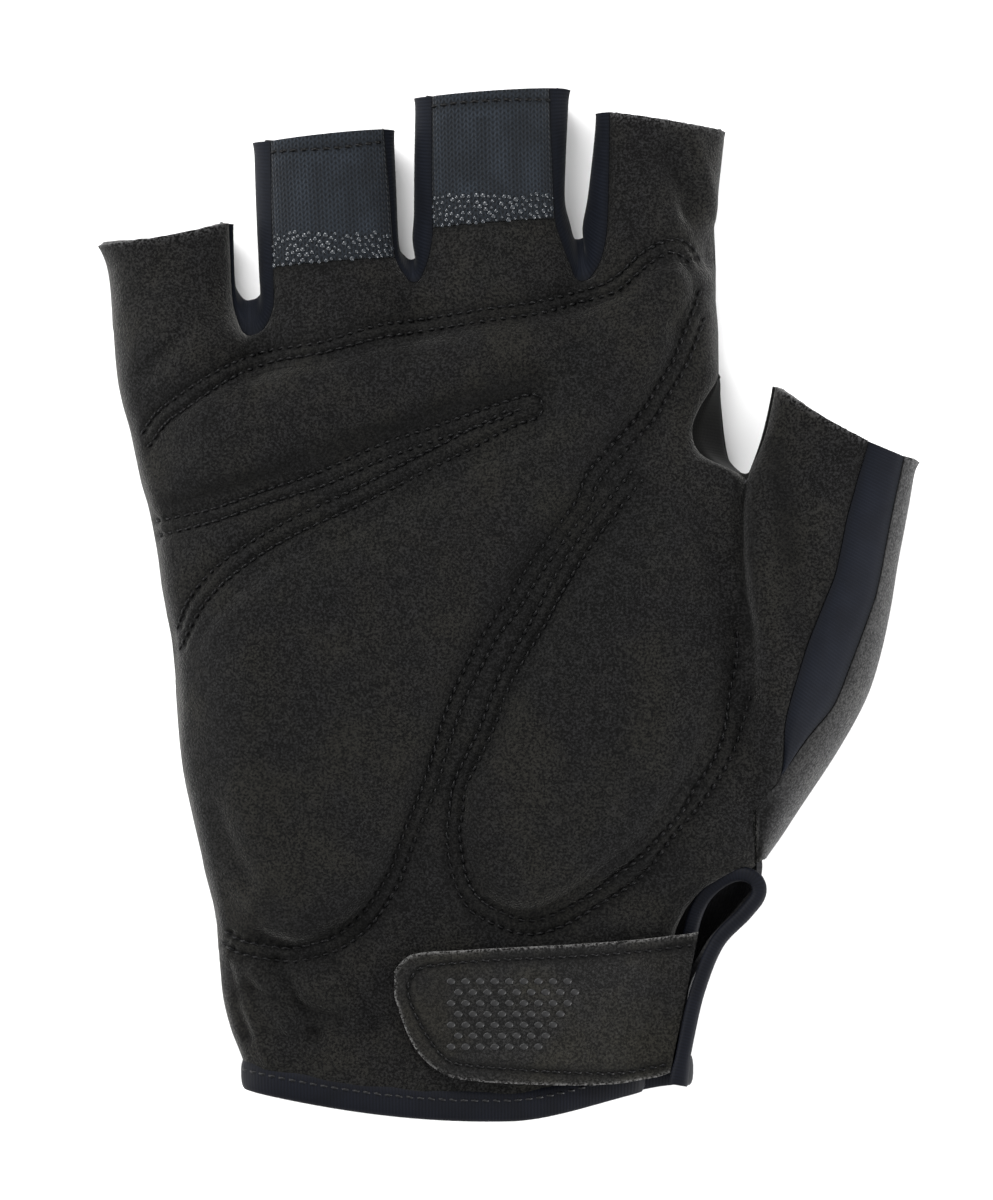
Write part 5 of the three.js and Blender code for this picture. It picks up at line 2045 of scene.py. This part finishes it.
class GrowTree:
    """Geometry nodes that lay copies of a small shape on many places."""

    def __init__(self, name: str, sizes: dict[str, float]) -> None:
        """Makes the tree with its named inputs.

        Args:
            name: The tree's name.
            sizes: Names of the sizes and their usual values.
        """
        self.tree = bpy.data.node_groups.new(name, "GeometryNodeTree")
        face = self.tree.interface
        face.new_socket("Geometry", in_out="INPUT", socket_type="NodeSocketGeometry")
        for key, value in sizes.items():
            socket = face.new_socket(key, in_out="INPUT", socket_type="NodeSocketFloat")
            socket.default_value = value
        face.new_socket("Seed", in_out="INPUT", socket_type="NodeSocketInt").default_value = 7
        face.new_socket("Material", in_out="INPUT", socket_type="NodeSocketMaterial")
        face.new_socket("Geometry", in_out="OUTPUT", socket_type="NodeSocketGeometry")
        self.nodes = Nodes(self.tree)
        self.given = self.nodes.add("NodeGroupInput")
        self.result = self.nodes.add("NodeGroupOutput")

    def size(self, name: str) -> Socket:
        """Returns one of the tree's inputs."""
        return self.given.outputs[name]

    def lift(self, axes: dict[str, str], turn: Optional[Socket] = None) -> Socket:
        """Turns a shape upright on the cloth.

        Args:
            axes: The axis that points out of the cloth, and the one it turns about, if any.
            turn: The rotation before.

        Returns:
            The rotation.
        """
        lift = self.nodes.add("GeometryNodeInputNamedAttribute", {"Name": "lift"},
                              data_type="FLOAT_VECTOR")
        inputs = {"Vector": lift.outputs["Attribute"], **({"Rotation": turn} if turn else {})}
        return self.nodes.add("FunctionNodeAlignRotationToVector", inputs, **axes).outputs[0]

    def chance(self, low: Socket, high: Socket) -> Socket:
        """Draws a random number for each place.

        Args:
            low: The lowest number.
            high: The highest number.

        Returns:
            The number.
        """
        node = self.nodes.add("FunctionNodeRandomValue", {"Seed": self.size("Seed")},
                              data_type="FLOAT")
        ends = [end for end in node.inputs if end.enabled and end.name in ("Min", "Max")]
        self.nodes.fill(ends[0], low)
        self.nodes.fill(ends[1], high)
        return next(end for end in node.outputs if end.enabled)

    def lay(self, points: Socket, shape: Socket, turn: Socket, scale: object = (1, 1, 1)) -> None:
        """Lays the shape on the places and gives it the material.

        Args:
            points: The places.
            shape: The shape.
            turn: The rotation at each place.
            scale: The scale at each place.
        """
        smooth = self.nodes.add("GeometryNodeSetShadeSmooth", {"Geometry": shape})
        laid = self.nodes.add("GeometryNodeInstanceOnPoints", {
            "Points": points, "Instance": smooth.outputs[0], "Rotation": turn, "Scale": scale})
        real = self.nodes.add("GeometryNodeRealizeInstances", {"Geometry": laid.outputs[0]})
        dressed = self.nodes.add("GeometryNodeSetMaterial", {
            "Geometry": real.outputs[0], "Material": self.size("Material")})
        self.nodes.fill(self.result.inputs["Geometry"], dressed.outputs[0])


class RowTree(GrowTree):
    """Geometry nodes that lay stitches along rows."""

    def __init__(self, name: str) -> None:
        """Builds the tree.

        Args:
            name: The tree's name.
        """
        super().__init__(name, {"Pitch": 1.8 * MM, "Stitch length": 1.45 * MM,
                                "Thread": 0.42 * MM, "Arch": 0.28 * MM, "Twist": 0.16})
        nodes, size = self.nodes, self.size
        rows = nodes.add("GeometryNodeMeshToCurve", {"Mesh": size("Geometry")})
        spaced = nodes.add("GeometryNodeResampleCurve", {"Curve": rows.outputs[0],
                                                         "Length": size("Pitch")}, mode="LENGTH")
        tangent = nodes.add("GeometryNodeInputTangent")
        along = nodes.add("FunctionNodeAlignRotationToVector", {"Vector": tangent.outputs[0]},
                          axis="X")
        upright = self.lift({"axis": "Z", "pivot_axis": "X"}, along.outputs[0])
        angle = self.chance(nodes.math("MULTIPLY", size("Twist"), -1.0), size("Twist"))
        turn = nodes.add("FunctionNodeAxisAngleToRotation", {"Axis": (0.0, 0.0, 1.0),
                                                             "Angle": angle})
        turned = nodes.add("FunctionNodeRotateRotation", {
            "Rotation": upright, "Rotate By": turn.outputs[0]}, rotation_space="LOCAL")
        self.lay(spaced.outputs[0], self.stitch(), turned.outputs[0])

    def stitch(self) -> Socket:
        """Makes one stitch: a bowed thread whose ends sink into the cloth.

        Returns:
            Its mesh.
        """
        nodes, size = self.nodes, self.size
        half = nodes.math("MULTIPLY", size("Stitch length"), 0.5)
        sunk = nodes.math("MULTIPLY", size("Thread"), -0.75)
        start = nodes.add("ShaderNodeCombineXYZ", {0: nodes.math("MULTIPLY", half, -1.0), 2: sunk})
        top = nodes.add("ShaderNodeCombineXYZ", {2: size("Arch")})
        end = nodes.add("ShaderNodeCombineXYZ", {0: half, 2: sunk})
        arc = nodes.add("GeometryNodeCurveQuadraticBezier", {
            "Resolution": 6, "Start": start.outputs[0], "Middle": top.outputs[0],
            "End": end.outputs[0]})
        radius = nodes.math("MULTIPLY", size("Thread"), 0.5)
        ring = nodes.add("GeometryNodeCurvePrimitiveCircle", {"Resolution": 6, "Radius": radius})
        return nodes.add("GeometryNodeCurveToMesh", {
            "Curve": arc.outputs[0], "Profile Curve": ring.outputs[0],
            "Fill Caps": True}).outputs[0]


class DotTree(GrowTree):
    """Geometry nodes that scatter or place small raised dots on points or faces."""

    def __init__(self, name: str, scatter: bool) -> None:
        """Builds the tree.

        Args:
            name: The tree's name.
            scatter: True to spread dots over faces, False for one on each point of the mesh.
        """
        super().__init__(name, {"Spacing": 0.8 * MM, "Dot size": 0.5 * MM, "Change": 0.3,
                                "Flatness": 0.5, "Stretch": 1.0})
        nodes, size = self.nodes, self.size
        if scatter:
            spread = nodes.add("GeometryNodeDistributePointsOnFaces", {
                "Mesh": size("Geometry"), "Distance Min": size("Spacing"), "Density Max": 4.0e6,
                "Seed": size("Seed")}, distribute_method="POISSON")
            points, turn = spread.outputs["Points"], spread.outputs["Rotation"]
        else:
            points, turn = size("Geometry"), self.lift({"axis": "Z"})
        drop = nodes.add("GeometryNodeMeshUVSphere", {"Segments": 8, "Rings": 5, "Radius": 1.0})
        share = self.chance(nodes.math("SUBTRACT", 1.0, size("Change")),
                            nodes.math("ADD", 1.0, size("Change")))
        radius = nodes.math("MULTIPLY", nodes.math("MULTIPLY", size("Dot size"), 0.5), share)
        scale = nodes.add("ShaderNodeCombineXYZ", {
            0: nodes.math("MULTIPLY", radius, size("Stretch")), 1: radius,
            2: nodes.math("MULTIPLY", radius, size("Flatness"))})
        self.lay(points, drop.outputs[0], turn, scale.outputs[0])


def grow(name: str, source: Piece, tree: Tree,
         values: dict[str, object]) -> Piece:
    """Runs geometry nodes on an object and keeps the result as a plain mesh.

    Args:
        name: The new object's name.
        source: The object that the tree reads, removed afterwards.
        tree: The geometry node tree.
        values: Values of the tree's named inputs.

    Returns:
        The new object.
    """
    modifier = source.modifiers.new("rows", "NODES")
    modifier.node_group = tree
    for item in tree.interface.items_tree:
        if item.item_type == "SOCKET" and item.in_out == "INPUT" and item.name in values:
            modifier[item.identifier] = values[item.name]
    graph = bpy.context.evaluated_depsgraph_get()
    mesh = bpy.data.meshes.new_from_object(source.evaluated_get(graph), depsgraph=graph)
    source.modifiers.remove(modifier)
    bpy.data.objects.remove(source, do_unlink=True)
    mesh.name = name
    LOG.info("%s: %d faces", name, len(mesh.polygons))
    return link(name, mesh)


def lifted_object(points: Array, lifts: Array, edges: Sequence[tuple[int, int]] = ()) -> Piece:
    """Makes an object of points, each with a direction out of the cloth.

    Args:
        points: The points.
        lifts: Their directions.
        edges: The edges between them.

    Returns:
        The object.
    """
    mesh = bpy.data.meshes.new("places")
    mesh.from_pydata([tuple(point) for point in points], edges, [])
    layer = mesh.attributes.new("lift", "FLOAT_VECTOR", "POINT")
    layer.data.foreach_set("vector", np.array(lifts, dtype=np.float32).ravel())
    return link("places", mesh)


def path_object(paths: Sequence[tuple[Array, Array]]) -> Piece:
    """Makes an object of open paths.

    Args:
        paths: Points and directions of each path.

    Returns:
        The object.
    """
    edges, start = [], 0
    for path, _ in paths:
        edges += [(start + step, start + step + 1) for step in range(len(path) - 1)]
        start += len(path)
    points, lifts = (np.vstack(part) for part in zip(*paths))
    return lifted_object(points, lifts, edges)


def read_mesh(obj: Piece) -> tuple[Array, Array]:
    """Reads a mesh of triangles.

    Args:
        obj: The object that has it.

    Returns:
        Its points and its faces.
    """
    points = np.zeros(len(obj.data.vertices) * 3)
    faces = np.zeros(len(obj.data.loops), dtype=np.int32)
    obj.data.vertices.foreach_get("co", points)
    obj.data.loops.foreach_get("vertex_index", faces)
    return points.reshape(-1, 3), faces.reshape(-1, 3)


class Ground:
    """The pieces that rows of stitches are laid on."""

    def __init__(self, objects: Sequence[Piece]) -> None:
        """Reads the pieces' meshes."""
        self.trees = [BVHTree.FromPolygons(*(part.tolist() for part in read_mesh(obj)))
                      for obj in objects]

    def drop(self, x: float, y: float) -> Optional[tuple[Array, Array]]:
        """Finds the highest place of the pieces under a point.

        Args:
            x: The point's place along X.
            y: The point's place along Y.

        Returns:
            The place and its normal, or None where the pieces are missing or steep.
        """
        best = None
        for tree in self.trees:
            hit, normal, _, _ = tree.ray_cast(Vector((x, y, 0.2)), Vector((0, 0, -1)))
            if hit is not None and normal.z > 0.6 and (best is None or hit.z > best[0][2]):
                best = (np.array(hit), np.array(normal))
        return best

    def drop_all(self, flat: Array) -> tuple[Array, Array]:
        """Returns the places and normals under flat points, without those that miss."""
        found = [hit for hit in (self.drop(x, y) for x, y in flat) if hit is not None]
        return np.array([hit[0] for hit in found]), np.array([hit[1] for hit in found])

    def lay(self, row: Shares, spacing: float = 0.6 * MM) -> tuple[Array, Array]:
        """Lays a row of shares on the pieces.

        Args:
            row: The row's corners as shares.
            spacing: Distance between the laid points.

        Returns:
            The points and the directions out of the cloth.
        """
        points, lifts = self.drop_all(smooth_path(flat_path(row), spacing))
        lifts = unit(lifts)
        window = np.ones(5) / 5
        for axis in range(3):
            padded = np.pad(lifts[:, axis], 2, mode="edge")
            lifts[:, axis] = np.convolve(padded, window, "valid")
        return points, unit(lifts)


def attach(obj: Piece, slot: Slot, node: Optional[str] = None,
           material: Optional[Material] = None) -> None:
    """Dresses a piece and ties it to the frame.

    Args:
        obj: The piece.
        slot: The record's material slot; not used.
        node: The node that it stands for, if any.
        material: Its material, if it has none yet.
    """
    if material:
        obj.data.materials.append(material)
    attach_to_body(obj, "root")
    if node:
        obj.name = f"{node}_cloth"
        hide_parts(node)


@dataclass
class Body:
    """Panels and pads of the glove."""

    finishes: Finishes
    relax_rounds: int = 40
    wall_thin: float = 1.0 * MM
    surface: Optional[Surface] = None
    pieces: dict[str, Piece] = field(default_factory=dict)

    def build(self) -> dict[str, Piece]:
        """Builds every panel and pad.

        Returns:
            The pieces by name.
        """
        skin = Skin()
        skin.build()
        surface = Surface.weld(skin.grids)
        surface.relax(self.relax_rounds)
        surface.measure_normals()
        self.surface = surface
        relief = Relief()
        heights = relief.heights(surface)
        finishes, thin = self.finishes, self.wall_thin
        materials = {
            Slot.SUEDE: finishes.suede.material(), Slot.KNIT: finishes.knit.material(),
            Slot.STRETCH: finishes.stretch.material(), Slot.BACK: finishes.back.material(),
        }
        own = {"thumb_web": finishes.web.material()}
        panels = [
            # The palm and the thumb's back get painted light on their slanted sides
            Panel("palm_panel", Slot.SUEDE, fray=2.2, painted_light_strength=0.30),
            Panel("ring_knit", Slot.KNIT, thin),
            Panel("middle_knit", Slot.KNIT, thin),
            *(Panel(side.name, Slot.STRETCH, thin) for side in SIDES),
            Panel("thumb_web", Slot.STRETCH, thin),
            Panel("thumb_strip", Slot.STRETCH, thin, gap=0.3 * MM, dip=0.4 * MM),
            Panel("thumb_back", Slot.SUEDE, fray=2.2, painted_light_strength=1.0, painted_light_until=1.0),
            Panel("back_panel", Slot.BACK, thin),
        ]
        for panel in panels:
            palm = panel.name == "palm_panel"
            obj = panel.build(surface, heights if palm else None, relief.shade)
            self.finish(obj, panel.name, panel.slot, own.get(panel.name, materials[panel.slot]))
        for pad in (Pad("palm_pad", PALM_PAD, loose_spots=LOOSE_SPOTS),
                    Pad("thumb_base_pad", THUMB_PAD)):
            obj = pad.build(surface, heights, relief.shade)
            self.finish(obj, pad.name, Slot.SUEDE, materials[Slot.SUEDE])
        return self.pieces

    def finish(self, obj: Piece, name: str, slot: Slot, material: Material) -> None:
        """Dresses a piece, ties it to the frame and keeps it under its node's name."""
        attach(obj, slot, name, material)
        self.pieces[name] = obj


@dataclass
class Tapes:
    """The wrist's hem tape and the tape round the slit."""

    finishes: Finishes
    hem_width: float = 4.6 * MM
    slit_width: float = 2.5 * MM
    thickness: float = 2.0 * MM
    lay_gap: float = 0.3 * MM
    station: float = 0.4 * MM
    row_inset: float = 1.9 * MM
    row_end: float = 0.655
    tuck: float = 0.9 * MM
    sunk: float = 0.6 * MM
    hem_row: tuple[Array, ...] = field(default_factory=lambda: (np.zeros((0, 3)),) * 2)

    def hem_path(self, surface: Surface) -> tuple[Array, Array]:
        """Walks round the wrist's open edge, from the slit round the hand.

        Args:
            surface: The skin.

        Returns:
            The edge's points and their normals.
        """
        faces = np.vstack([surface.cuts[name].faces for name in ("palm_panel", "back_panel")])
        low = surface.points[:, 1] < SHIFT[1] + 0.075 * GLOVE_LENGTH
        links = {int(a): int(b) for a, b in border_edges(faces) if low[a] and low[b]}
        start = self.corner(surface, 0.664, 0.038)
        for forward in (links, {b: a for a, b in links.items()}):
            walk = [start]
            while walk[-1] in forward and len(walk) < 5000:
                walk.append(forward[walk[-1]])
            if len(walk) >= 100:
                break
        return surface.points[walk], surface.normals[walk]

    def corner(self, surface: Surface, x: float, y: float) -> int:
        """Returns the skin's point nearest to a palm corner given as shares."""
        where = place(x, y, 0.44) + SHIFT
        return int(np.argmin(np.linalg.norm(surface.points - where, axis=1)))

    def build(self, surface: Surface) -> dict[str, Piece]:
        """Builds both tapes.

        Args:
            surface: The skin.

        Returns:
            The tapes by name.
        """
        material = self.finishes.tape.material()
        tapes = {"cuff_binding": self.hem(surface), "slit_binding": self.slit()}
        for name, tape in tapes.items():
            attach(tape, Slot.TAPE, name, material)
        return tapes

    def hem(self, surface: Surface) -> Piece:
        """Builds the tape round the wrist and keeps the row of its stitches.

        Args:
            surface: The skin.

        Returns:
            The tape.
        """
        points, normals = self.hem_path(surface)
        normals = unit(normals * [1, 0, 1])
        length = lengths(points)
        wanted = np.linspace(0, length[-1], int(length[-1] / self.station))
        points = read_path(points, length, wanted)
        normals = unit(read_path(normals, length, wanted))
        down = np.array([0.0, -1.0, 0.0])
        middle = (points + down * (self.lay_gap + self.hem_width / 2 - self.tuck)
                  - normals * self.sunk)
        middle[:, 2] = np.maximum(middle[:, 2], self.thickness / 2)
        ones = np.ones(len(middle))
        width = self.hem_width + self.tuck
        inner = (middle - down * (width / 2 - self.row_inset)
                 + normals * self.thickness * 0.46)
        shown = (normals[:, 2] > 0.5) & (inner[:, 0] < self.row_end * GLOVE_WIDTH + SHIFT[0])
        self.hem_row = (inner[shown], normals[shown])
        return sweep("cuff_binding", middle, normals, np.tile(-down, (len(middle), 1)),
                     ones * width, ones * self.thickness, squareness=2.5)

    def slit(self) -> Piece:
        """Builds the tape round the slit.

        Returns:
            The tape.
        """
        path = smooth_path(place(*np.array(SLIT_TAPE).T) + SHIFT, self.station)
        along = unit(np.gradient(path, axis=0))
        across = unit(np.stack([along[:, 1], -along[:, 0], np.zeros(len(along))], 1))
        up = -np.cross(along, across)
        width = self.slit_width * (1 + 0.25 * ease(np.linspace(0, 1, len(path)), 0.93, 1.0))
        thickness = np.full(len(path), self.thickness)
        return sweep("slit_binding", path, up, across, width, thickness, squareness=2.6)


@dataclass
class Strap:
    """The strap that closes the wrist over the palm, with a printed patch of dots."""

    finishes: Finishes
    thickness: float = 1.6 * MM
    lift: float = 1.0 * MM
    cells: int = 46
    edge_round: float = 0.5 * MM
    row_depth: float = 0.38 * MM
    swell: float = 0.25 * MM
    wave: float = 0.15 * MM
    dark_end: tuple[float, float] = (0.42, 0.50)

    def build(self) -> Piece:
        """Builds the strap.

        Returns:
            The strap's object.
        """
        skin = Skin()
        rows = np.linspace(0, len(STRAP) - 1, 160)
        part = np.linspace(0, 1, self.cells + 1)[None]
        y = mix(STRAP.at("bottom", rows)[:, None], STRAP.at("top", rows)[:, None], part)
        x = STRAP.at("x", rows)[:, None]
        x = x + ease(x, 0.58, 0.708) * mix(-0.012, 0.022, part)
        points = place(x, y, np.zeros_like(y))
        hand = np.linspace(0, SLIT_END, 301)
        mid = skin.hand_chord(hand, np.full_like(hand, 0.5))[:, 1]
        mid = mid - HEM_BOW * np.maximum(0, 1 - hand / BOW_ROWS)
        row = np.interp(points[..., 1], mid, hand)
        left, right = HAND.at("leftX", row) * GLOVE_WIDTH, HAND.at("rightX", row) * GLOVE_WIDTH
        share = np.clip((points[..., 0] - left) / (right - left), 0, 0.985)
        points[..., 2] = skin.palm_base(row, share)[..., 2]
        points = points + SHIFT
        flat = points[..., :2].reshape(-1, 2)
        away, _ = path_distance(flat, np.vstack([points[:, -1, :2][::-1], points[:, 0, :2]]))
        inner, _ = path_distance(flat, smooth_path(flat_path(STRAP_ROW), 1.0 * MM))
        drop = self.edge_round * dome(away, 0.7 * MM)
        press = self.row_depth * dome(inner, 0.5 * MM)
        swell = self.swell * ease(away, 1.5 * MM, 7 * MM)
        wave = np.array([noise.fractal(Vector((*p, 0.3)) * 110, 1.0, 2.0, 2) for p in flat])
        rise = (swell + wave * self.wave - drop - press).reshape(points.shape[:2])
        top, bottom = points.copy(), points.copy()
        top[..., 2] += self.lift + self.thickness + rise
        bottom[..., 2] += self.lift
        count = len(flat)
        index = np.arange(count).reshape(points.shape[:2])
        faces = split(index[:-1, :-1], index[1:, :-1], index[1:, 1:], index[:-1, 1:])
        vertices = np.vstack([top.reshape(-1, 3), bottom.reshape(-1, 3)])
        ends = np.array(self.dark_end) * GLOVE_WIDTH + SHIFT[0]
        # Painted shade along the row of stitches; the strap is also darker towards its left end
        dark = np.maximum(0.95 * dome(inner, 0.95 * MM), 0.35 * (1 - ease(flat[:, 0], *ends)))
        marks = {"fuzz": np.tile(dome(away, 0.32 * MM), 2), "press": np.tile(dark, 2),
                 "worn": np.zeros(2 * count)}
        obj = make_object("strap_tab", vertices, shell(faces, count), vertices[:, :2], sharp=60,
                          marks=marks)
        attach(obj, Slot.SUEDE, "strap_tab", self.finishes.strap.material())
        return obj

    def print_places(self) -> list[tuple[float, float]]:
        """Returns the places of the printed dots as shares, in staggered rows."""
        return [(0.432 + (column + 0.5 * (row % 2)) * 0.0175, 0.078 + row * 0.0105)
                for row in range(7) for column in range(9) if column - row * 0.6 < 6.2]

    def decorate(self, strap: Piece) -> Piece:
        """Prints the patch of dots on the strap.

        Args:
            strap: The strap's object.

        Returns:
            The dots' object.
        """
        places = Ground([strap]).drop_all(flat_path(self.print_places()))
        dots = grow("strap_print", lifted_object(*places), DotTree("print_dots", False).tree, {
            "Dot size": 1.25 * MM, "Change": 0.02, "Flatness": 0.25, "Stretch": 1.25, "Seed": 5,
            "Material": self.finishes.rubber.material()})
        attach(dots, Slot.TAPE)
        return dots


@dataclass
class Threads:
    """All rows of stitches."""

    finishes: Finishes
    hem_row: tuple[Array, Array]

    def build(self, pieces: dict[str, Piece]) -> None:
        """Lays the rows on the pieces.

        Args:
            pieces: The glove's pieces by node.
        """
        tree = RowTree("stitch_rows").tree
        thread = self.finishes.thread.material()
        pale = self.finishes.hem_thread.material()
        suede = Ground([pieces[name] for name in ("palm_panel", "palm_pad", "thumb_base_pad")])
        lays = {
            "palm_stitches": [suede.lay(row) for row in PALM_ROWS],
            "strap_stitches": [Ground([pieces["strap_tab"]]).lay(STRAP_ROW)],
            "hem_stitches": [self.hem_row],
            "knit_stitches": [Ground([pieces["ring_knit"]]).lay(KNIT_ROWS[0]),
                              Ground([pieces["middle_knit"]]).lay(KNIT_ROWS[1])],
        }
        for index, (name, paths) in enumerate(lays.items()):
            rows = grow(name, path_object(paths), tree, {
                "Pitch": 1.8 * MM, "Stitch length": 1.4 * MM, "Thread": 0.56 * MM, "Arch": 0.5 * MM,
                "Twist": 0.14, "Seed": 11 + index,
                "Material": pale if name == "hem_stitches" else thread})
            attach(rows, Slot.TAPE)


@dataclass
class GripBand:
    """Silicone dots on the lower part of the knitted fingers."""

    finishes: Finishes
    bands: dict[str, float] = field(default_factory=lambda: {
        "ring_knit": 5.6 * MM, "middle_knit": 5.4 * MM})

    def build(self, pieces: dict[str, Piece]) -> None:
        """Scatters the dots.

        Args:
            pieces: The glove's pieces by node.
        """
        tree = DotTree("grip_dots", scatter=True).tree
        material = self.finishes.grip.material()
        for name, height in self.bands.items():
            points, faces = read_mesh(pieces[name])
            a, b, c = (points[faces[:, corner]] for corner in range(3))
            up = np.cross(b - a, c - a)
            outer = up[:, 2] > 0.2 * np.linalg.norm(up, axis=1)
            band = ((a + b + c)[:, 1] / 3 - points[:, 1].min() < height) & outer
            source = make_object("band", points, faces[band])
            dots = grow(f"{name}_grip", source, tree, {
                "Spacing": 0.80 * MM, "Dot size": 0.72 * MM, "Change": 0.4, "Flatness": 0.5,
                "Seed": 21, "Material": material})
            attach(dots, Slot.KNIT)


@dataclass
class Studio:
    """Floor, lights and camera."""

    finishes: Finishes
    lens: float = 180.0
    view_height: float = 0.20158
    centre: tuple[float, float] = (-0.00182, 0.00107)
    outline_height: float = 0.008
    floor_reach: float = 1.5
    floor_z: float = -0.00012

    def build(self) -> None:
        """Sets the floor, the lights and the camera."""
        corners = [(-1, -1), (1, -1), (1, 1), (-1, 1)]
        points = np.array([(x * self.floor_reach, y * self.floor_reach, self.floor_z)
                           for x, y in corners])
        floor = make_object("floor", points, np.array([[0, 1, 2, 3]]))
        floor.data.materials.append(self.finishes.floor.material())
        self.light("key_light", (-0.30, 0.75, 0.62), 0.5, 15.0)
        self.light("fill_light", (0.45, -0.25, 0.8), 0.8, 4.0)
        self.light("left_light", (-0.75, -0.05, 0.16), 0.4, 6.0)
        self.light("right_light", (0.75, -0.40, 0.12), 0.4, 14.0)
        world = bpy.data.worlds.new("studio")
        world.use_nodes = True
        background = world.node_tree.nodes["Background"]
        background.inputs["Color"].default_value = (1.0, 1.0, 1.0, 1)
        background.inputs["Strength"].default_value = 0.85
        bpy.context.scene.world = world
        camera = bpy.data.cameras.new("camera")
        camera.lens = self.lens
        camera.sensor_width = 36.0
        camera.clip_start, camera.clip_end = 0.05, 10.0
        distance = self.view_height * self.lens / camera.sensor_width
        obj = link("camera", camera)
        obj.location = (*self.centre, self.outline_height + distance)
        bpy.context.scene.camera = obj
        bpy.context.scene.view_settings.view_transform = "Standard"

    def light(self, name: str, where: Sequence[float], size: float, power: float) -> None:
        """Hangs a soft square light that faces the glove.

        Args:
            name: The light's name.
            where: Its place.
            size: The length of its side.
            power: Its power in watts.
        """
        data = bpy.data.lights.new(name, "AREA")
        data.size = size
        data.energy = power
        obj = link(name, data)
        obj.location = where
        obj.rotation_euler = (-Vector(where)).to_track_quat("-Z", "Y").to_euler()


def main() -> None:
    """Builds the whole scene."""
    logging.basicConfig(level=logging.INFO, format="%(message)s")
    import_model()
    finishes = Finishes()
    Studio(finishes).build()
    body = Body(finishes)
    pieces = dict(body.build())
    assert body.surface is not None
    tapes = Tapes(finishes)
    pieces.update(tapes.build(body.surface))
    strap = Strap(finishes)
    pieces["strap_tab"] = strap.build()
    strap.decorate(pieces["strap_tab"])
    Threads(finishes, tapes.hem_row).build(pieces)
    GripBand(finishes).build(pieces)
    LOG.info("sizes written")


if __name__ == "__main__":
    main()
